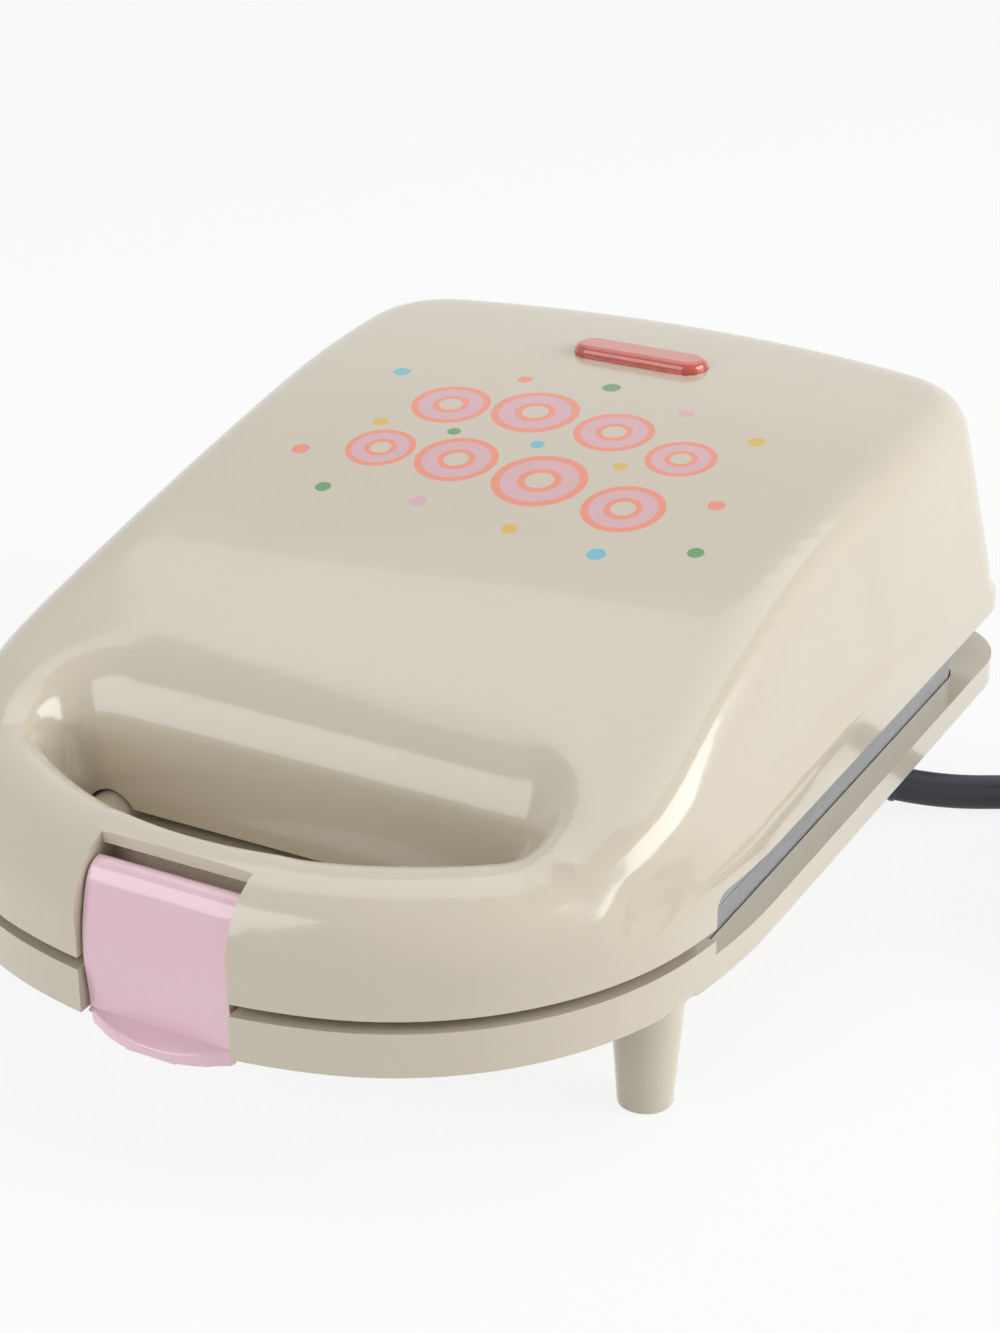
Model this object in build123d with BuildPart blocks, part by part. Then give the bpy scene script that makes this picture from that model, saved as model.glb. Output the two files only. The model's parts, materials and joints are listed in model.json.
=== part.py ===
from build123d import *
from math import atan2, cos, degrees, pi, radians, sin, sqrt, tan
import os

# A countertop cooker for ring-shaped cakes: a lid hinged to a base, with a ring plate in each.
# Millimetres. X runs to the right, Y to the back and Z up. The origin is the middle of the
# footprint, on the surface that the feet stand on. The thumb tab of the latch is in front.

# Both shells in plan
half_width = 71.5            # straight flanks
depth = 204.0                # thumb tab to rear wall
front_set = 0.8              # the shells' front edge stands this far behind the thumb tab
front_y = -depth / 2 + front_set
rear_y = depth / 2
front_radius = 1.338 * half_width    # middle of the curved front
front_angle = 16.7           # where the middle of the front runs into its corners
corner_radius = 0.8336 * half_width
corner_angle = 78.6          # where the corners run into the flanks
rear_radius = 3.5 * half_width
rear_corner_radius = 16.0
side_step_y = front_y + 56.5         # behind this line the sides stand open round the plates
step_radius = 3.0

# Heights
rim_bottom = 20.0            # lower edge of the base
rim_front = 27.8             # upper edge of the base in front
rim_side = 25.2              # upper edge of the base beside and behind the plates
lid_front_edge = 30.0        # lower edge of the lid in front
lid_side_edge = 36.0         # lower edge of the lid beside and behind the plates
handle_top = 49.0
lid_top = 79.1
plate_parting = 29.4         # face of the lower plate
belly_bottom = 8.0

lid_wall = 2.5
base_wall = 2.2
clearance = 0.3              # between pieces that only lie beside each other
running = 0.05               # round a pin that turns

# Lid: handle, long arc of the top, leaning flanks
handle_roll = 12.0           # rounding of the handle's outer edge
dome_radius = 432.0          # long arc of the top, seen from the side
dome_peak_y = rear_y - 11.2
blend_radius = 42.0          # hollow between the handle and the long arc
crease_radius = 8.0          # soft edge between the top and its flanks
flank_foot_z = 43.0
flank_head_z = 82.0
flank_front_y = front_y + 33.0
flank_foot = [(half_width - 11.2, flank_front_y), (half_width - 6.0, front_y + 43.0),
              (half_width - 2.5, front_y + 57.0), (half_width - 1.3, front_y + 77.0),
              (half_width - 1.3, rear_y - 76.2)]
flank_foot_start = 0.55      # slope at the front end of that line
flank_head = [(half_width - 11.2, flank_front_y), (half_width - 13.0, front_y + 45.0),
              (half_width - 16.0, front_y + 59.0), (half_width - 15.5, front_y + 79.0),
              (half_width - 10.5, rear_y - 76.2), (half_width - 8.0, rear_y - 46.2)]
head_rear_y = rear_y - 4.2
head_rear_radius = 2.5 * half_width
head_corner_radius = 20.0
foot_rear_inset = 1.0
ledge_start_y = front_y + 37.0
ledge_front_z = 37.3         # top of the skirt band under the flanks: in front,
ledge_peak = (front_y + 88.2, 45.0)  # at its highest
ledge_rear = (rear_y - 14.0, 39.0)   # and at the rear corner

# Finger opening, a bell mouth through the lid and a plain one through the base.
# Each level: height, front, back, half width, rounding of the rear corners.
opening_front_y = front_y + 18.0
opening_back_y = front_y + 45.0
opening_half_width = half_width - 25.5
opening_bow = 7.5            # how far the front of the opening is bowed
opening_end = 16.0           # width and depth of the rounding at its two ends
opening_end_depth = 12.0
opening_levels = [(26.0, 0.0, 0.0, 0.0, 6.0),
                  (44.0, 0.0, 0.0, 0.0, 6.0),
                  (47.4, -1.9, 0.9, 0.9, 7.0),
                  (49.4, -4.8, 2.0, 2.2, 8.0),
                  (51.2, -5.0, 3.4, 3.6, 10.0),
                  (53.0, -5.0, 5.2, 5.0, 12.0),
                  (55.2, -5.0, 8.2, 6.4, 15.0),
                  (57.5, -5.0, 12.0, 7.4, 18.0),
                  (59.5, -5.0, 17.0, 8.0, 22.0),
                  (61.3, -5.0, 23.0, 8.4, 26.0),
                  (63.0, -5.0, 29.0, 8.7, 30.0),
                  (64.5, -5.0, 35.0, 9.0, 34.0),
                  (70.0, -5.0, 45.0, 9.0, 40.0)]
notch_place = opening_half_width - 7.0   # an arch at each end of the opening's rear wall
notch_radius = 5.0
notch_gap = 0.6              # round the base's boss that stands in the arch
notch_boss_front = opening_back_y - 4.8
grip_back_y = front_y + 37.0         # rear of the opening in the base
grip_half_width = opening_half_width - 3.0
grip_front_half = opening_half_width - 10.0
grip_side_y = front_y + 30.2
grip_round = 2.5

# Plates
plate_half_width = half_width - 4.5
plate_front_y = front_y + 49.0
plate_rear_y = rear_y - 24.2
plate_y = (plate_front_y + plate_rear_y) / 2
plate_half_depth = (plate_rear_y - plate_front_y) / 2
plate_corner_radius = 9.0
plate_wall = 2.5
plate_rim = 6.2              # height of the lower plate's side
upper_rim = 7.6
plate_gap = 0.15             # between the closed plates
ring_pitch = 0.954 * min(plate_half_width, plate_half_depth)
ring_radius = 0.29 * ring_pitch      # middle of a ring
ring_half = 0.161 * ring_pitch       # half its thickness
heater_radius = 2.8
heater_rib = 10.0            # width of the cast rib that holds the heater
heater_corner = 9.0
heater_end_x = 11.0
rib_height = 5.4 + ring_half         # from the plate's face to the middle of the heater
terminal_radius = 1.2
terminal_length = 6.0
thermostat_radius = 8.0
thermostat_pad = 4.0         # raised pad on the plate
thermostat_height = 7.0
boss_height = 11.4           # from the plate's face
vent_radius = 3.0
vent_pitch = 18.0
shield_thickness = 0.6
shield_gap = 0.2             # between heater and shield
boss_radius = 4.5
screw_radius = 1.75
screw_head_radius = 3.2
screw_head = 2.0
screw_reach = plate_half_depth - 8.7     # from the plate's middle to its front and rear screws
side_screw = plate_half_width - 18.0     # and to those at its sides
rear_screw = (plate_half_width - 9.0, plate_half_depth - 7.5)    # clear of the signal lamp
screw_bite = 6.5             # how far a screw's hole runs into the boss beyond the joint
base_screw_seat = 14.0
tab_length = 3.0
fuse_radius = 1.8
fuse_start = 11.0
fuse_length = 12.0

# Hinge
hinge_y = rear_y - 5.2
hinge_z = 32.5
knuckle_radius = 4.5
pin_radius = 1.5
lid_knuckle = (21.0, 33.0)   # from and to, on each side
base_knuckle = (8.0, 20.6)
knuckle_arm = 3.0            # half width of the arm between knuckle and shell
knuckle_top = 44.0
knuckle_web = 1.5

# Latch. Its outline is given from the shells' front edge, as distance behind it and height.
latch_width = 27.0
latch_side_gap = 0.5
latch_pivot = (front_y + 8.5, 41.0)
latch_boss_radius = 3.4
latch_lip_y = front_y + 9.5          # edge of the notch in the handle's top
latch_pocket_y = front_y + 12.6
latch_pocket_top = 46.6
latch_rib = 2.5
latch_face = [(8.0, 45.3), (5.6, 44.6), (3.5, 40.5), (2.3, 34.5), (2.1, 29.4), (2.8, 23.0), (2.9, 20.2)]
latch_tab = [(-0.8, 18.7), (-0.4, 16.8), (3.6, 17.6)]
latch_back = [(5.6, 19.6), (5.6, 22.8), (4.9, 23.6), (4.8, 30.0), (5.8, 36.0), (9.2, 38.5), (10.2, 44.0)]
latch_tab_root = front_y + 3.0
latch_tab_lift = 10.2        # the tab's rounded outline reaches this far below the lid's edge
catch_y = front_y + 5.9
catch_z = 23.2
catch_depth = 2.6

# Signal lens
lens_y = rear_y - 32.2
lens_length = 28.0
lens_width = 8.0
lens_proud = 1.9
lens_flange = 1.5
lens_seat = 3.4              # from the lid's highest point down to the lens flange
lens_drop = 0.4              # the lid has fallen this much from its highest point
lens_round = 1.6
lamp_depth = 8.0
lamp_length = 24.0
lamp_width = 7.0
lamp_recess = 4.0
lamp_bulb = 1.6

# Belly under the plates
belly_half_width = half_width - 5.5
belly_front = front_y + 45.2
belly_rear = rear_y - 6.0
belly_slope = 18.0           # how far the belly draws in towards its floor
belly_corner = 24.0
belly_floor_corner = 10.0
belly_edge = 3.0
bay_rear_y = front_y + 43.0  # the handle's hollow underside ends here
deck_under = 21.0
plate_ledge = 3.5

# Feet
front_foot = (half_width - 9.6, front_y + 48.7)
rear_foot = (half_width - 17.5, rear_y - 34.2)
foot_radius = 4.6
foot_flare = 1.6

# Terminal block and wires on the belly's floor
block_place = (0.0, plate_y + 47.2)
block_width = 14.0
block_depth = 8.0
block_height = 8.0
block_screw = 1.2
wire_rise = 4.0
wire_slack = 3.0
wire_bend = 1.5
wire_diameter = 1.8

# Cord: a flat lead, rounded off to its width
cord_diameter = 7.0
exit_point = (belly_half_width - 22.1, belly_rear - 44.4, 9.5)
exit_heading = 25.5          # degrees from X towards Y
exit_drop = 12.0             # degrees down
exit_run = 8.4               # from the boot to where the cord touches down
boot_length = 20.0
boot_root_radius = 4.9
boot_neck_radius = 3.8
boot_tip = 0.1
boot_rings = 5
boot_groove = 1.2
hub_radius = 6.0
hub_length = 7.0
scoop_radius = 5.8
scoop_wall = 1.6
scoop_length = 12.0
collar_back = 3.0
collar_length = 2.0
collar_radius = 4.5
lead_middle = (exit_point[0] + 39.6, exit_point[1] + 19.4, 3.8)
lead_last = 15.0
coil_centre = (exit_point[0] + 98.1, exit_point[1] - 0.6)
coil_radius = 46.0           # outer turns
coil_height = 4.4
coil_heading = 29.5
coil_pitch = 7.6             # one turn beside the next, and one layer on the other
coil_turns = [(0, 0), (1, 0), (2, 1), (1, 0)]   # half turns: steps drawn in, layers climbed
coil_steps = 400
tail_run = 15.0
tie_heading = -150.5
tie_radius = 42.0
tie_inner_width = 8.0
tie_inner_height = 14.8
tie_corner = 4.0
tie_width = 6.0
tie_thickness = 0.8
plug_axis_z = 7.2
plug_length = 27.0
plug_width = 24.0
plug_thickness = 14.0
plug_boot = 14.0
blade_length = 17.5
blade_width = 6.3
blade_thickness = 1.5
blade_pitch = 12.7


def compass(centre, radius, start, end):
    """An arc about a centre between two directions, in degrees clockwise from the front."""
    CenterArc(centre, radius, start - 90, end - start)


def plan(inset=0.0, rear_corner=rear_corner_radius):
    """The outline of both shells seen from above, drawn in by inset."""
    r1, r2, r4, r5 = front_radius, corner_radius, rear_corner, rear_radius
    a1, a2 = radians(front_angle), radians(corner_angle)
    c1 = (0, front_y + r1)
    c2 = ((r1 - r2) * sin(a1), c1[1] - (r1 - r2) * cos(a1))
    r3 = (half_width - c2[0] - r2 * sin(a2)) / (1 - sin(a2))
    c3 = (half_width - r3, c2[1] - (r2 - r3) * cos(a2))
    c4 = (half_width - r4, rear_y - r5 + sqrt((r5 - r4) ** 2 - (half_width - r4) ** 2))
    turn = degrees(atan2(c4[0], c4[1] - rear_y + r5))
    flank = half_width - inset
    with BuildSketch() as sketch:
        with BuildLine():
            compass(c1, r1 - inset, -front_angle, front_angle)
            compass(c2, r2 - inset, front_angle, corner_angle)
            compass(c3, r3 - inset, corner_angle, 90)
            Line((flank, c3[1]), (flank, c4[1]))
            compass(c4, r4 - inset, 90, 180 - turn)
            compass((0, rear_y - r5), r5 - inset, 180 - turn, 180 + turn)
            compass((-c4[0], c4[1]), r4 - inset, 180 + turn, 270)
            Line((-flank, c4[1]), (-flank, c3[1]))
            compass((-c3[0], c3[1]), r3 - inset, 270, 360 - corner_angle)
            compass((-c2[0], c2[1]), r2 - inset, 360 - corner_angle, 360 - front_angle)
        make_face()
    return sketch.sketch


def flank_outline(points, start, corner, rear, rear_radius, inset):
    """A level of the leaning flanks: a straight front, one smooth curve a side, a round rear."""
    side = points[-1][0]
    c = (side - corner, rear - rear_radius + sqrt((rear_radius - corner) ** 2 - (side - corner) ** 2))
    turn = degrees(atan2(c[0], c[1] - rear + rear_radius))
    right = [(x - inset, y) for x, y in points] + [(side - inset, c[1])]
    left = [(-x, y) for x, y in reversed(right)]
    with BuildSketch() as sketch:
        with BuildLine():
            Line(left[-1], right[0])
            Spline(right, tangents=[(start, 1), (0, 1)])
            compass(c, corner - inset, 90, 180 - turn)
            compass((0, rear - rear_radius), rear_radius - inset, 180 - turn, 180 + turn)
            compass((-c[0], c[1]), corner - inset, 180 + turn, 270)
            Spline(left, tangents=[(0, -1), (start, -1)])
        make_face()
    return sketch.sketch


def top_profile(inset):
    """Everything under the handle's top, the hollow behind it and the long arc of the lid."""
    centre_z = lid_top - dome_radius
    hollow_z = handle_top + blend_radius
    hollow_y = dome_peak_y - sqrt((dome_radius + blend_radius) ** 2 - (hollow_z - centre_z) ** 2)
    meet = degrees(atan2(hollow_z - centre_z, hollow_y - dome_peak_y))
    back = degrees(atan2(sqrt(dome_radius ** 2 - (depth - dome_peak_y) ** 2), depth - dome_peak_y))
    with BuildSketch() as sketch:
        with BuildLine():
            Line((-depth, 0), (-depth, handle_top - inset))
            Line((-depth, handle_top - inset), (hollow_y, handle_top - inset))
            CenterArc((hollow_y, hollow_z), blend_radius + inset, -90, meet - 90)
            long_arc = CenterArc((dome_peak_y, centre_z), dome_radius - inset, meet, back - meet)
            Line(long_arc @ 1, (depth, 0))
            Line((depth, 0), (-depth, 0))
        make_face()
    return sketch.sketch


def skirt_profile(inset):
    """Everything under the soft ledge that the skirt makes at the foot of the flanks."""
    with BuildSketch() as sketch:
        with BuildLine():
            Line((-depth, 0), (-depth, ledge_front_z - inset))
            Line((-depth, ledge_front_z - inset), (ledge_start_y, ledge_front_z - inset))
            ledge = ThreePointArc((ledge_start_y, ledge_front_z - inset),
                                  (ledge_peak[0], ledge_peak[1] - inset),
                                  (ledge_rear[0], ledge_rear[1] - inset))
            Line(ledge @ 1, (depth, ledge_rear[1] - inset))
            Line((depth, ledge_rear[1] - inset), (depth, 0))
            Line((depth, 0), (-depth, 0))
        make_face()
    return sketch.sketch


def lid_form(inset):
    """The lid's outer form, or with an inset the hollow inside it, still closed below."""
    foot = flank_outline(flank_foot, flank_foot_start, rear_corner_radius, rear_y - foot_rear_inset,
                         rear_radius, inset)
    head = flank_outline(flank_head, 0, head_corner_radius, head_rear_y, head_rear_radius, inset)
    with BuildPart() as handle:
        with BuildSketch():
            add(plan(inset))
        extrude(amount=handle_top - inset)
        fillet(handle.edges().group_by(Axis.Z)[-1], handle_roll - inset)
        split(bisect_by=Plane.XZ.offset(-ledge_start_y), keep=Keep.TOP)
    with BuildPart() as skirt:
        with BuildSketch():
            add(plan(inset))
        extrude(amount=handle_top - inset)
        with BuildSketch(Plane.YZ):
            add(skirt_profile(inset))
        extrude(amount=half_width, both=True, mode=Mode.INTERSECT)
    with BuildPart() as dome:
        with BuildSketch(Plane.XY.offset(flank_foot_z)):
            add(foot)
        with BuildSketch(Plane.XY.offset(flank_head_z)):
            add(head)
        loft(ruled=True)
        with BuildSketch(Plane.YZ):
            add(top_profile(inset))
        extrude(amount=half_width, both=True, mode=Mode.INTERSECT)
        fillet([edge for edge in dome.edges() if is_crease(edge, dome.faces())], crease_radius - inset)
        with BuildSketch(Plane.XY.offset(rim_bottom)):
            add(foot)
        extrude(amount=flank_foot_z - rim_bottom)
    with BuildPart() as form:
        add(handle.part)
        add(skirt.part)
        add(dome.part)
    return form.part


def is_crease(edge, faces):
    """True for an edge between the lid's top and what falls away from it."""
    middle = edge @ 0.5
    beside = [face for face in faces if any(edge.is_same(other) for other in face.edges())]
    normals = [face.normal_at(middle) for face in beside]
    rising = [normal for normal in normals if normal.Z > 0.75]
    return len(rising) == 1 and middle.Y > flank_foot[0][1] + clearance


def mouth(level, wall=0.0):
    """One level of the finger opening: bowed front, rounded rear corners."""
    z, front_shift, back_shift, spread, corner = level
    front = opening_front_y + front_shift - wall
    back = opening_back_y + back_shift + wall
    half = opening_half_width + spread + wall
    corner = corner + wall
    bow_x, bow_y = half - opening_end, front + opening_bow
    side_y = bow_y + opening_end_depth
    front_arc = (bow_x ** 2 + opening_bow ** 2) / (2 * opening_bow)
    end_rise = opening_end * bow_x / (front_arc - opening_bow)
    with BuildSketch(Plane.XY.offset(z)) as sketch:
        with BuildLine():
            ThreePointArc((-bow_x, bow_y), (0, front), (bow_x, bow_y))
            Bezier((bow_x, bow_y), (half, bow_y + end_rise), (half, side_y))
            Line((half, side_y), (half, back - corner))
            compass((half - corner, back - corner), corner, 90, 180)
            Line((half - corner, back), (corner - half, back))
            compass((corner - half, back - corner), corner, 180, 270)
            Line((-half, back - corner), (-half, side_y))
            Bezier((-half, side_y), (-half, bow_y + end_rise), (-bow_x, bow_y))
        make_face()
    return sketch.sketch


def ring_places():
    """Middles of the four rings, from the plate's own middle."""
    return [(x * ring_pitch / 2, plate_y + y * ring_pitch / 2) for x in (-1, 1) for y in (-1, 1)]


def heater_path(z):
    """The heater's run round the plate, open at the rear, with rounded corners."""
    half = ring_pitch / 2
    points = [(heater_end_x, half), (half, half), (half, -half), (-half, -half), (-half, half),
              (-heater_end_x, half)]
    FilletPolyline([(x, plate_y + y, z) for x, y in points], radius=heater_corner)


def screw_places(up):
    """Screws of one plate: the upper plate has a pair at its rear corners instead of one."""
    shared = [(0, plate_y - screw_reach), (-side_screw, plate_y), (side_screw, plate_y)]
    if up > 0:
        return shared + [(side * rear_screw[0], plate_y + rear_screw[1]) for side in (-1, 1)]
    return shared + [(0, plate_y + screw_reach)]


def heater_start(z):
    return Plane((heater_end_x, plate_y + ring_pitch / 2, z), z_dir=(1, 0, 0))


def half_ring(face, up, half):
    """Half a ring of round section on one side of a face, about the origin."""
    with BuildPart() as form:
        with BuildSketch(Plane.XZ):
            with BuildLine():
                CenterArc((ring_radius, face), half, 0, up * 180)
                Line((ring_radius - half, face), (ring_radius + half, face))
            make_face()
        revolve(axis=Axis.Z)
    return form.part


def heater_rib_outline():
    """The closed cast rib that holds the heater."""
    half = heater_rib / 2
    with BuildSketch() as sketch:
        with Locations((0, plate_y)):
            RectangleRounded(ring_pitch + heater_rib, ring_pitch + heater_rib, heater_corner + half)
            RectangleRounded(ring_pitch - heater_rib, ring_pitch - heater_rib, heater_corner - half,
                             mode=Mode.SUBTRACT)
        with Locations((0, plate_y + ring_pitch / 2)):
            Rectangle(2 * heater_end_x, 2 * heater_rib, mode=Mode.SUBTRACT)
    return sketch.sketch


def plate(face, up, rim):
    """A ring plate whose cooking side lies at face and whose works lie on the side up points to."""
    back = face + up * plate_wall
    with BuildPart() as form:
        with BuildSketch(Plane.XY.offset(face)):
            with Locations((0, plate_y)):
                RectangleRounded(2 * plate_half_width, 2 * plate_half_depth, plate_corner_radius)
        extrude(amount=up * rim)
        with BuildSketch(Plane.XY.offset(back)):
            with Locations((0, plate_y)):
                RectangleRounded(2 * (plate_half_width - plate_wall), 2 * (plate_half_depth - plate_wall),
                                 plate_corner_radius - plate_wall)
        extrude(amount=up * rim, mode=Mode.SUBTRACT)
        with BuildSketch(Plane.XY.offset(back)):
            add(heater_rib_outline())
        extrude(amount=up * (rib_height - plate_wall))
        with BuildSketch(Plane.XY.offset(back)):
            with Locations(*screw_places(up)):
                Circle(boss_radius)
        extrude(amount=up * (boss_height - plate_wall))
        with BuildSketch(Plane.XY.offset(back)):
            with Locations((0, plate_y)):
                Circle(thermostat_radius)
        extrude(amount=up * thermostat_pad)
        with Locations(*ring_places()):
            add(half_ring(face, up, ring_half + plate_wall))
        with Locations(*ring_places()):
            add(half_ring(face, up, ring_half), mode=Mode.SUBTRACT)
        with BuildLine():
            heater_path(face + up * rib_height)
        with BuildSketch(heater_start(face + up * rib_height)):
            Circle(heater_radius)
        sweep(mode=Mode.SUBTRACT)
    return form.part


def heater(z):
    """A tube heater with a terminal pin in each end."""
    with BuildPart() as form:
        with BuildLine():
            heater_path(z)
        with BuildSketch(heater_start(z)):
            Circle(heater_radius)
        sweep()
        for side in (-1, 1):
            with BuildSketch(Plane((side * heater_end_x, plate_y + ring_pitch / 2, z), z_dir=(-side, 0, 0))):
                Circle(terminal_radius)
            extrude(amount=terminal_length)
    return form.part


def shield(z, up):
    """A pressed sheet tray over the heater, standing on the shoulders of its rib."""
    half = ring_pitch / 2 + heater_rib / 2
    top = heater_radius + shield_gap + shield_thickness
    with BuildPart() as form:
        with BuildSketch(Plane.XY.offset(z)):
            with Locations((0, plate_y)):
                RectangleRounded(2 * half, 2 * half, heater_corner + heater_rib / 2)
        extrude(amount=up * top)
        with BuildSketch(Plane.XY.offset(z)):
            with Locations((0, plate_y)):
                RectangleRounded(2 * (half - shield_thickness), 2 * (half - shield_thickness),
                                 heater_corner + heater_rib / 2 - shield_thickness)
        extrude(amount=up * (top - shield_thickness), mode=Mode.SUBTRACT)
        with BuildSketch(Plane.XY.offset(z)):
            with Locations((0, plate_y + half)):
                Rectangle(2 * heater_end_x, 4 * heater_radius)
        extrude(amount=up * (top - shield_thickness), mode=Mode.SUBTRACT)
        with BuildSketch(Plane.XY.offset(z)):
            with Locations((0, plate_y)):
                with GridLocations(vent_pitch, vent_pitch, 3, 3):
                    Circle(vent_radius)
        extrude(amount=up * top, mode=Mode.SUBTRACT)
    return form.part


def screws(places, seat_z, length):
    """Pan-head screws driven upwards, the underside of each head at seat_z."""
    with BuildPart() as form:
        with BuildSketch(Plane.XY.offset(seat_z)):
            with Locations(*places):
                Circle(screw_head_radius)
        extrude(amount=-screw_head)
        fillet(form.edges().filter_by(GeomType.CIRCLE).group_by(Axis.Z)[0], screw_head / 3)
        with BuildSketch(Plane.XY.offset(seat_z)):
            with Locations(*places):
                Circle(screw_radius)
        extrude(amount=length)
    return form.part


os.makedirs("parts", exist_ok=True)

# Lid cover: a moulded shell with the bell mouth, screw bosses, latch pocket and hinge knuckles
with BuildPart() as lid_works:
    loft([mouth(level, lid_wall) for level in opening_levels], ruled=True)
    with BuildSketch(Plane.XY.offset(plate_parting + plate_gap + boss_height)):
        with Locations(*screw_places(1)):
            Circle(boss_radius)
    extrude(amount=lid_top)
    with BuildSketch(Plane.XY.offset(lid_front_edge)):
        with Locations((0, (front_y + latch_pocket_y) / 2)):
            Rectangle(latch_width + 2 * latch_side_gap + 2 * latch_rib,
                      latch_pocket_y - front_y + 2 * lid_wall)
    extrude(amount=handle_top - lid_front_edge)
    with BuildSketch(Plane.XY.offset(lid_top - lens_seat - lamp_depth)):
        with Locations((0, lens_y)):
            SlotOverall(lens_length + 4 * lens_flange, lens_width + 4 * lens_flange)
    extrude(amount=lamp_depth + lens_seat)
    with BuildSketch(Plane.XY.offset(lid_top - lens_seat - lamp_depth)):
        with Locations((0, lens_y)):
            SlotOverall(lens_length + 2 * lens_flange, lens_width + 2 * lens_flange)
    extrude(amount=lamp_depth, mode=Mode.SUBTRACT)
    add(lid_form(0), mode=Mode.INTERSECT)

with BuildPart() as lid_cover:
    add(lid_form(0))
    add(lid_form(lid_wall), mode=Mode.SUBTRACT)
    add(lid_works.part)
    loft([mouth(level) for level in opening_levels], ruled=True, mode=Mode.SUBTRACT)
    with BuildSketch(Plane.YZ):
        Polygon((-depth, 0), (depth, 0), (depth, lid_side_edge), (side_step_y, lid_side_edge),
                (side_step_y, lid_front_edge), (-depth, lid_front_edge), align=None)
        fillet(vertices().sort_by_distance((side_step_y, lid_side_edge))[0], step_radius)
    extrude(amount=half_width, both=True, mode=Mode.SUBTRACT)
    with BuildSketch(Plane.XY.offset(plate_parting + plate_gap + boss_height)):
        with Locations(*screw_places(1)):
            Circle(screw_radius + running)
    extrude(amount=screw_bite, mode=Mode.SUBTRACT)
    with BuildSketch(Plane.YZ):
        with Locations((latch_pocket_y, 0)):
            Rectangle(depth, latch_pocket_top, align=(Align.MAX, Align.MIN))
        with Locations((latch_lip_y, 0)):
            Rectangle(depth, lid_top, align=(Align.MAX, Align.MIN))
    extrude(amount=latch_width / 2 + latch_side_gap, both=True, mode=Mode.SUBTRACT)
    with BuildSketch(Plane.YZ):
        with Locations(latch_pivot):
            Circle(pin_radius + running)
    extrude(amount=latch_width / 2 + latch_side_gap + latch_rib, both=True, mode=Mode.SUBTRACT)
    with BuildSketch(Plane.XZ.offset(-notch_boss_front)):
        with Locations((-notch_place, rim_front), (notch_place, rim_front)):
            Circle(notch_radius)
    extrude(amount=notch_boss_front - plate_front_y, mode=Mode.SUBTRACT)
    with BuildSketch(Plane.XY.offset(lid_side_edge)):
        with Locations((0, lens_y)):
            SlotOverall(lens_length + 2 * running, lens_width + 2 * running)
    extrude(amount=lid_top, mode=Mode.SUBTRACT)
    with BuildSketch(Plane.YZ):
        with Locations((hinge_y, hinge_z)):
            Circle(knuckle_radius + 2 * clearance)
    extrude(amount=lid_knuckle[0], both=True, mode=Mode.SUBTRACT)
    for side in (1, -1):
        with BuildSketch(Plane.YZ.offset(side * lid_knuckle[0])):
            with Locations((hinge_y, hinge_z)):
                Circle(knuckle_radius)
            with Locations((hinge_y, hinge_z)):
                Rectangle(2 * knuckle_arm, knuckle_top - hinge_z, align=(Align.CENTER, Align.MIN))
            with Locations((hinge_y, hinge_z)):
                Circle(pin_radius + running, mode=Mode.SUBTRACT)
        extrude(amount=side * (lid_knuckle[1] - lid_knuckle[0]))
lid_cover.part.label = "lid_cover"
export_step(lid_cover.part, "parts/lid_cover.step")
print("lid cover", lid_cover.part.volume, lid_cover.part.is_valid, len(lid_cover.solids()))

# Signal lens with its flange under the lid, and the lamp holder that closes its well
with BuildPart() as indicator_lens:
    with BuildSketch(Plane.XY.offset(lid_top - lens_seat - lens_flange)):
        with Locations((0, lens_y)):
            SlotOverall(lens_length + 2 * lens_flange - 2 * running,
                        lens_width + 2 * lens_flange - 2 * running)
    extrude(amount=lens_flange)
    with BuildSketch(Plane.XY.offset(lid_top - lens_seat)):
        with Locations((0, lens_y)):
            SlotOverall(lens_length, lens_width)
    extrude(amount=lens_seat + lens_proud - lens_drop)
    fillet(indicator_lens.edges().group_by(Axis.Z)[-1], lens_round)
indicator_lens.part.label = "indicator_lens"
export_step(indicator_lens.part, "parts/indicator_lens.step")

with BuildPart() as indicator_lamp:
    with BuildSketch(Plane.XY.offset(lid_top - lens_seat - lamp_depth)):
        with Locations((0, lens_y)):
            SlotOverall(lens_length + 2 * lens_flange - 2 * running,
                        lens_width + 2 * lens_flange - 2 * running)
    extrude(amount=lamp_depth - lens_flange)
    with BuildSketch(Plane.XY.offset(lid_top - lens_seat - lens_flange)):
        with Locations((0, lens_y)):
            SlotOverall(lamp_length, lamp_width)
    extrude(amount=-lamp_recess, mode=Mode.SUBTRACT)
    with BuildSketch(Plane.YZ):
        with Locations((lens_y, lid_top - lens_seat - lens_flange - lamp_recess + lamp_bulb / 2)):
            Circle(lamp_bulb)
    extrude(amount=lamp_length / 2, both=True)
indicator_lamp.part.label = "indicator_lamp"
export_step(indicator_lamp.part, "parts/indicator_lamp.step")

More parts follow.
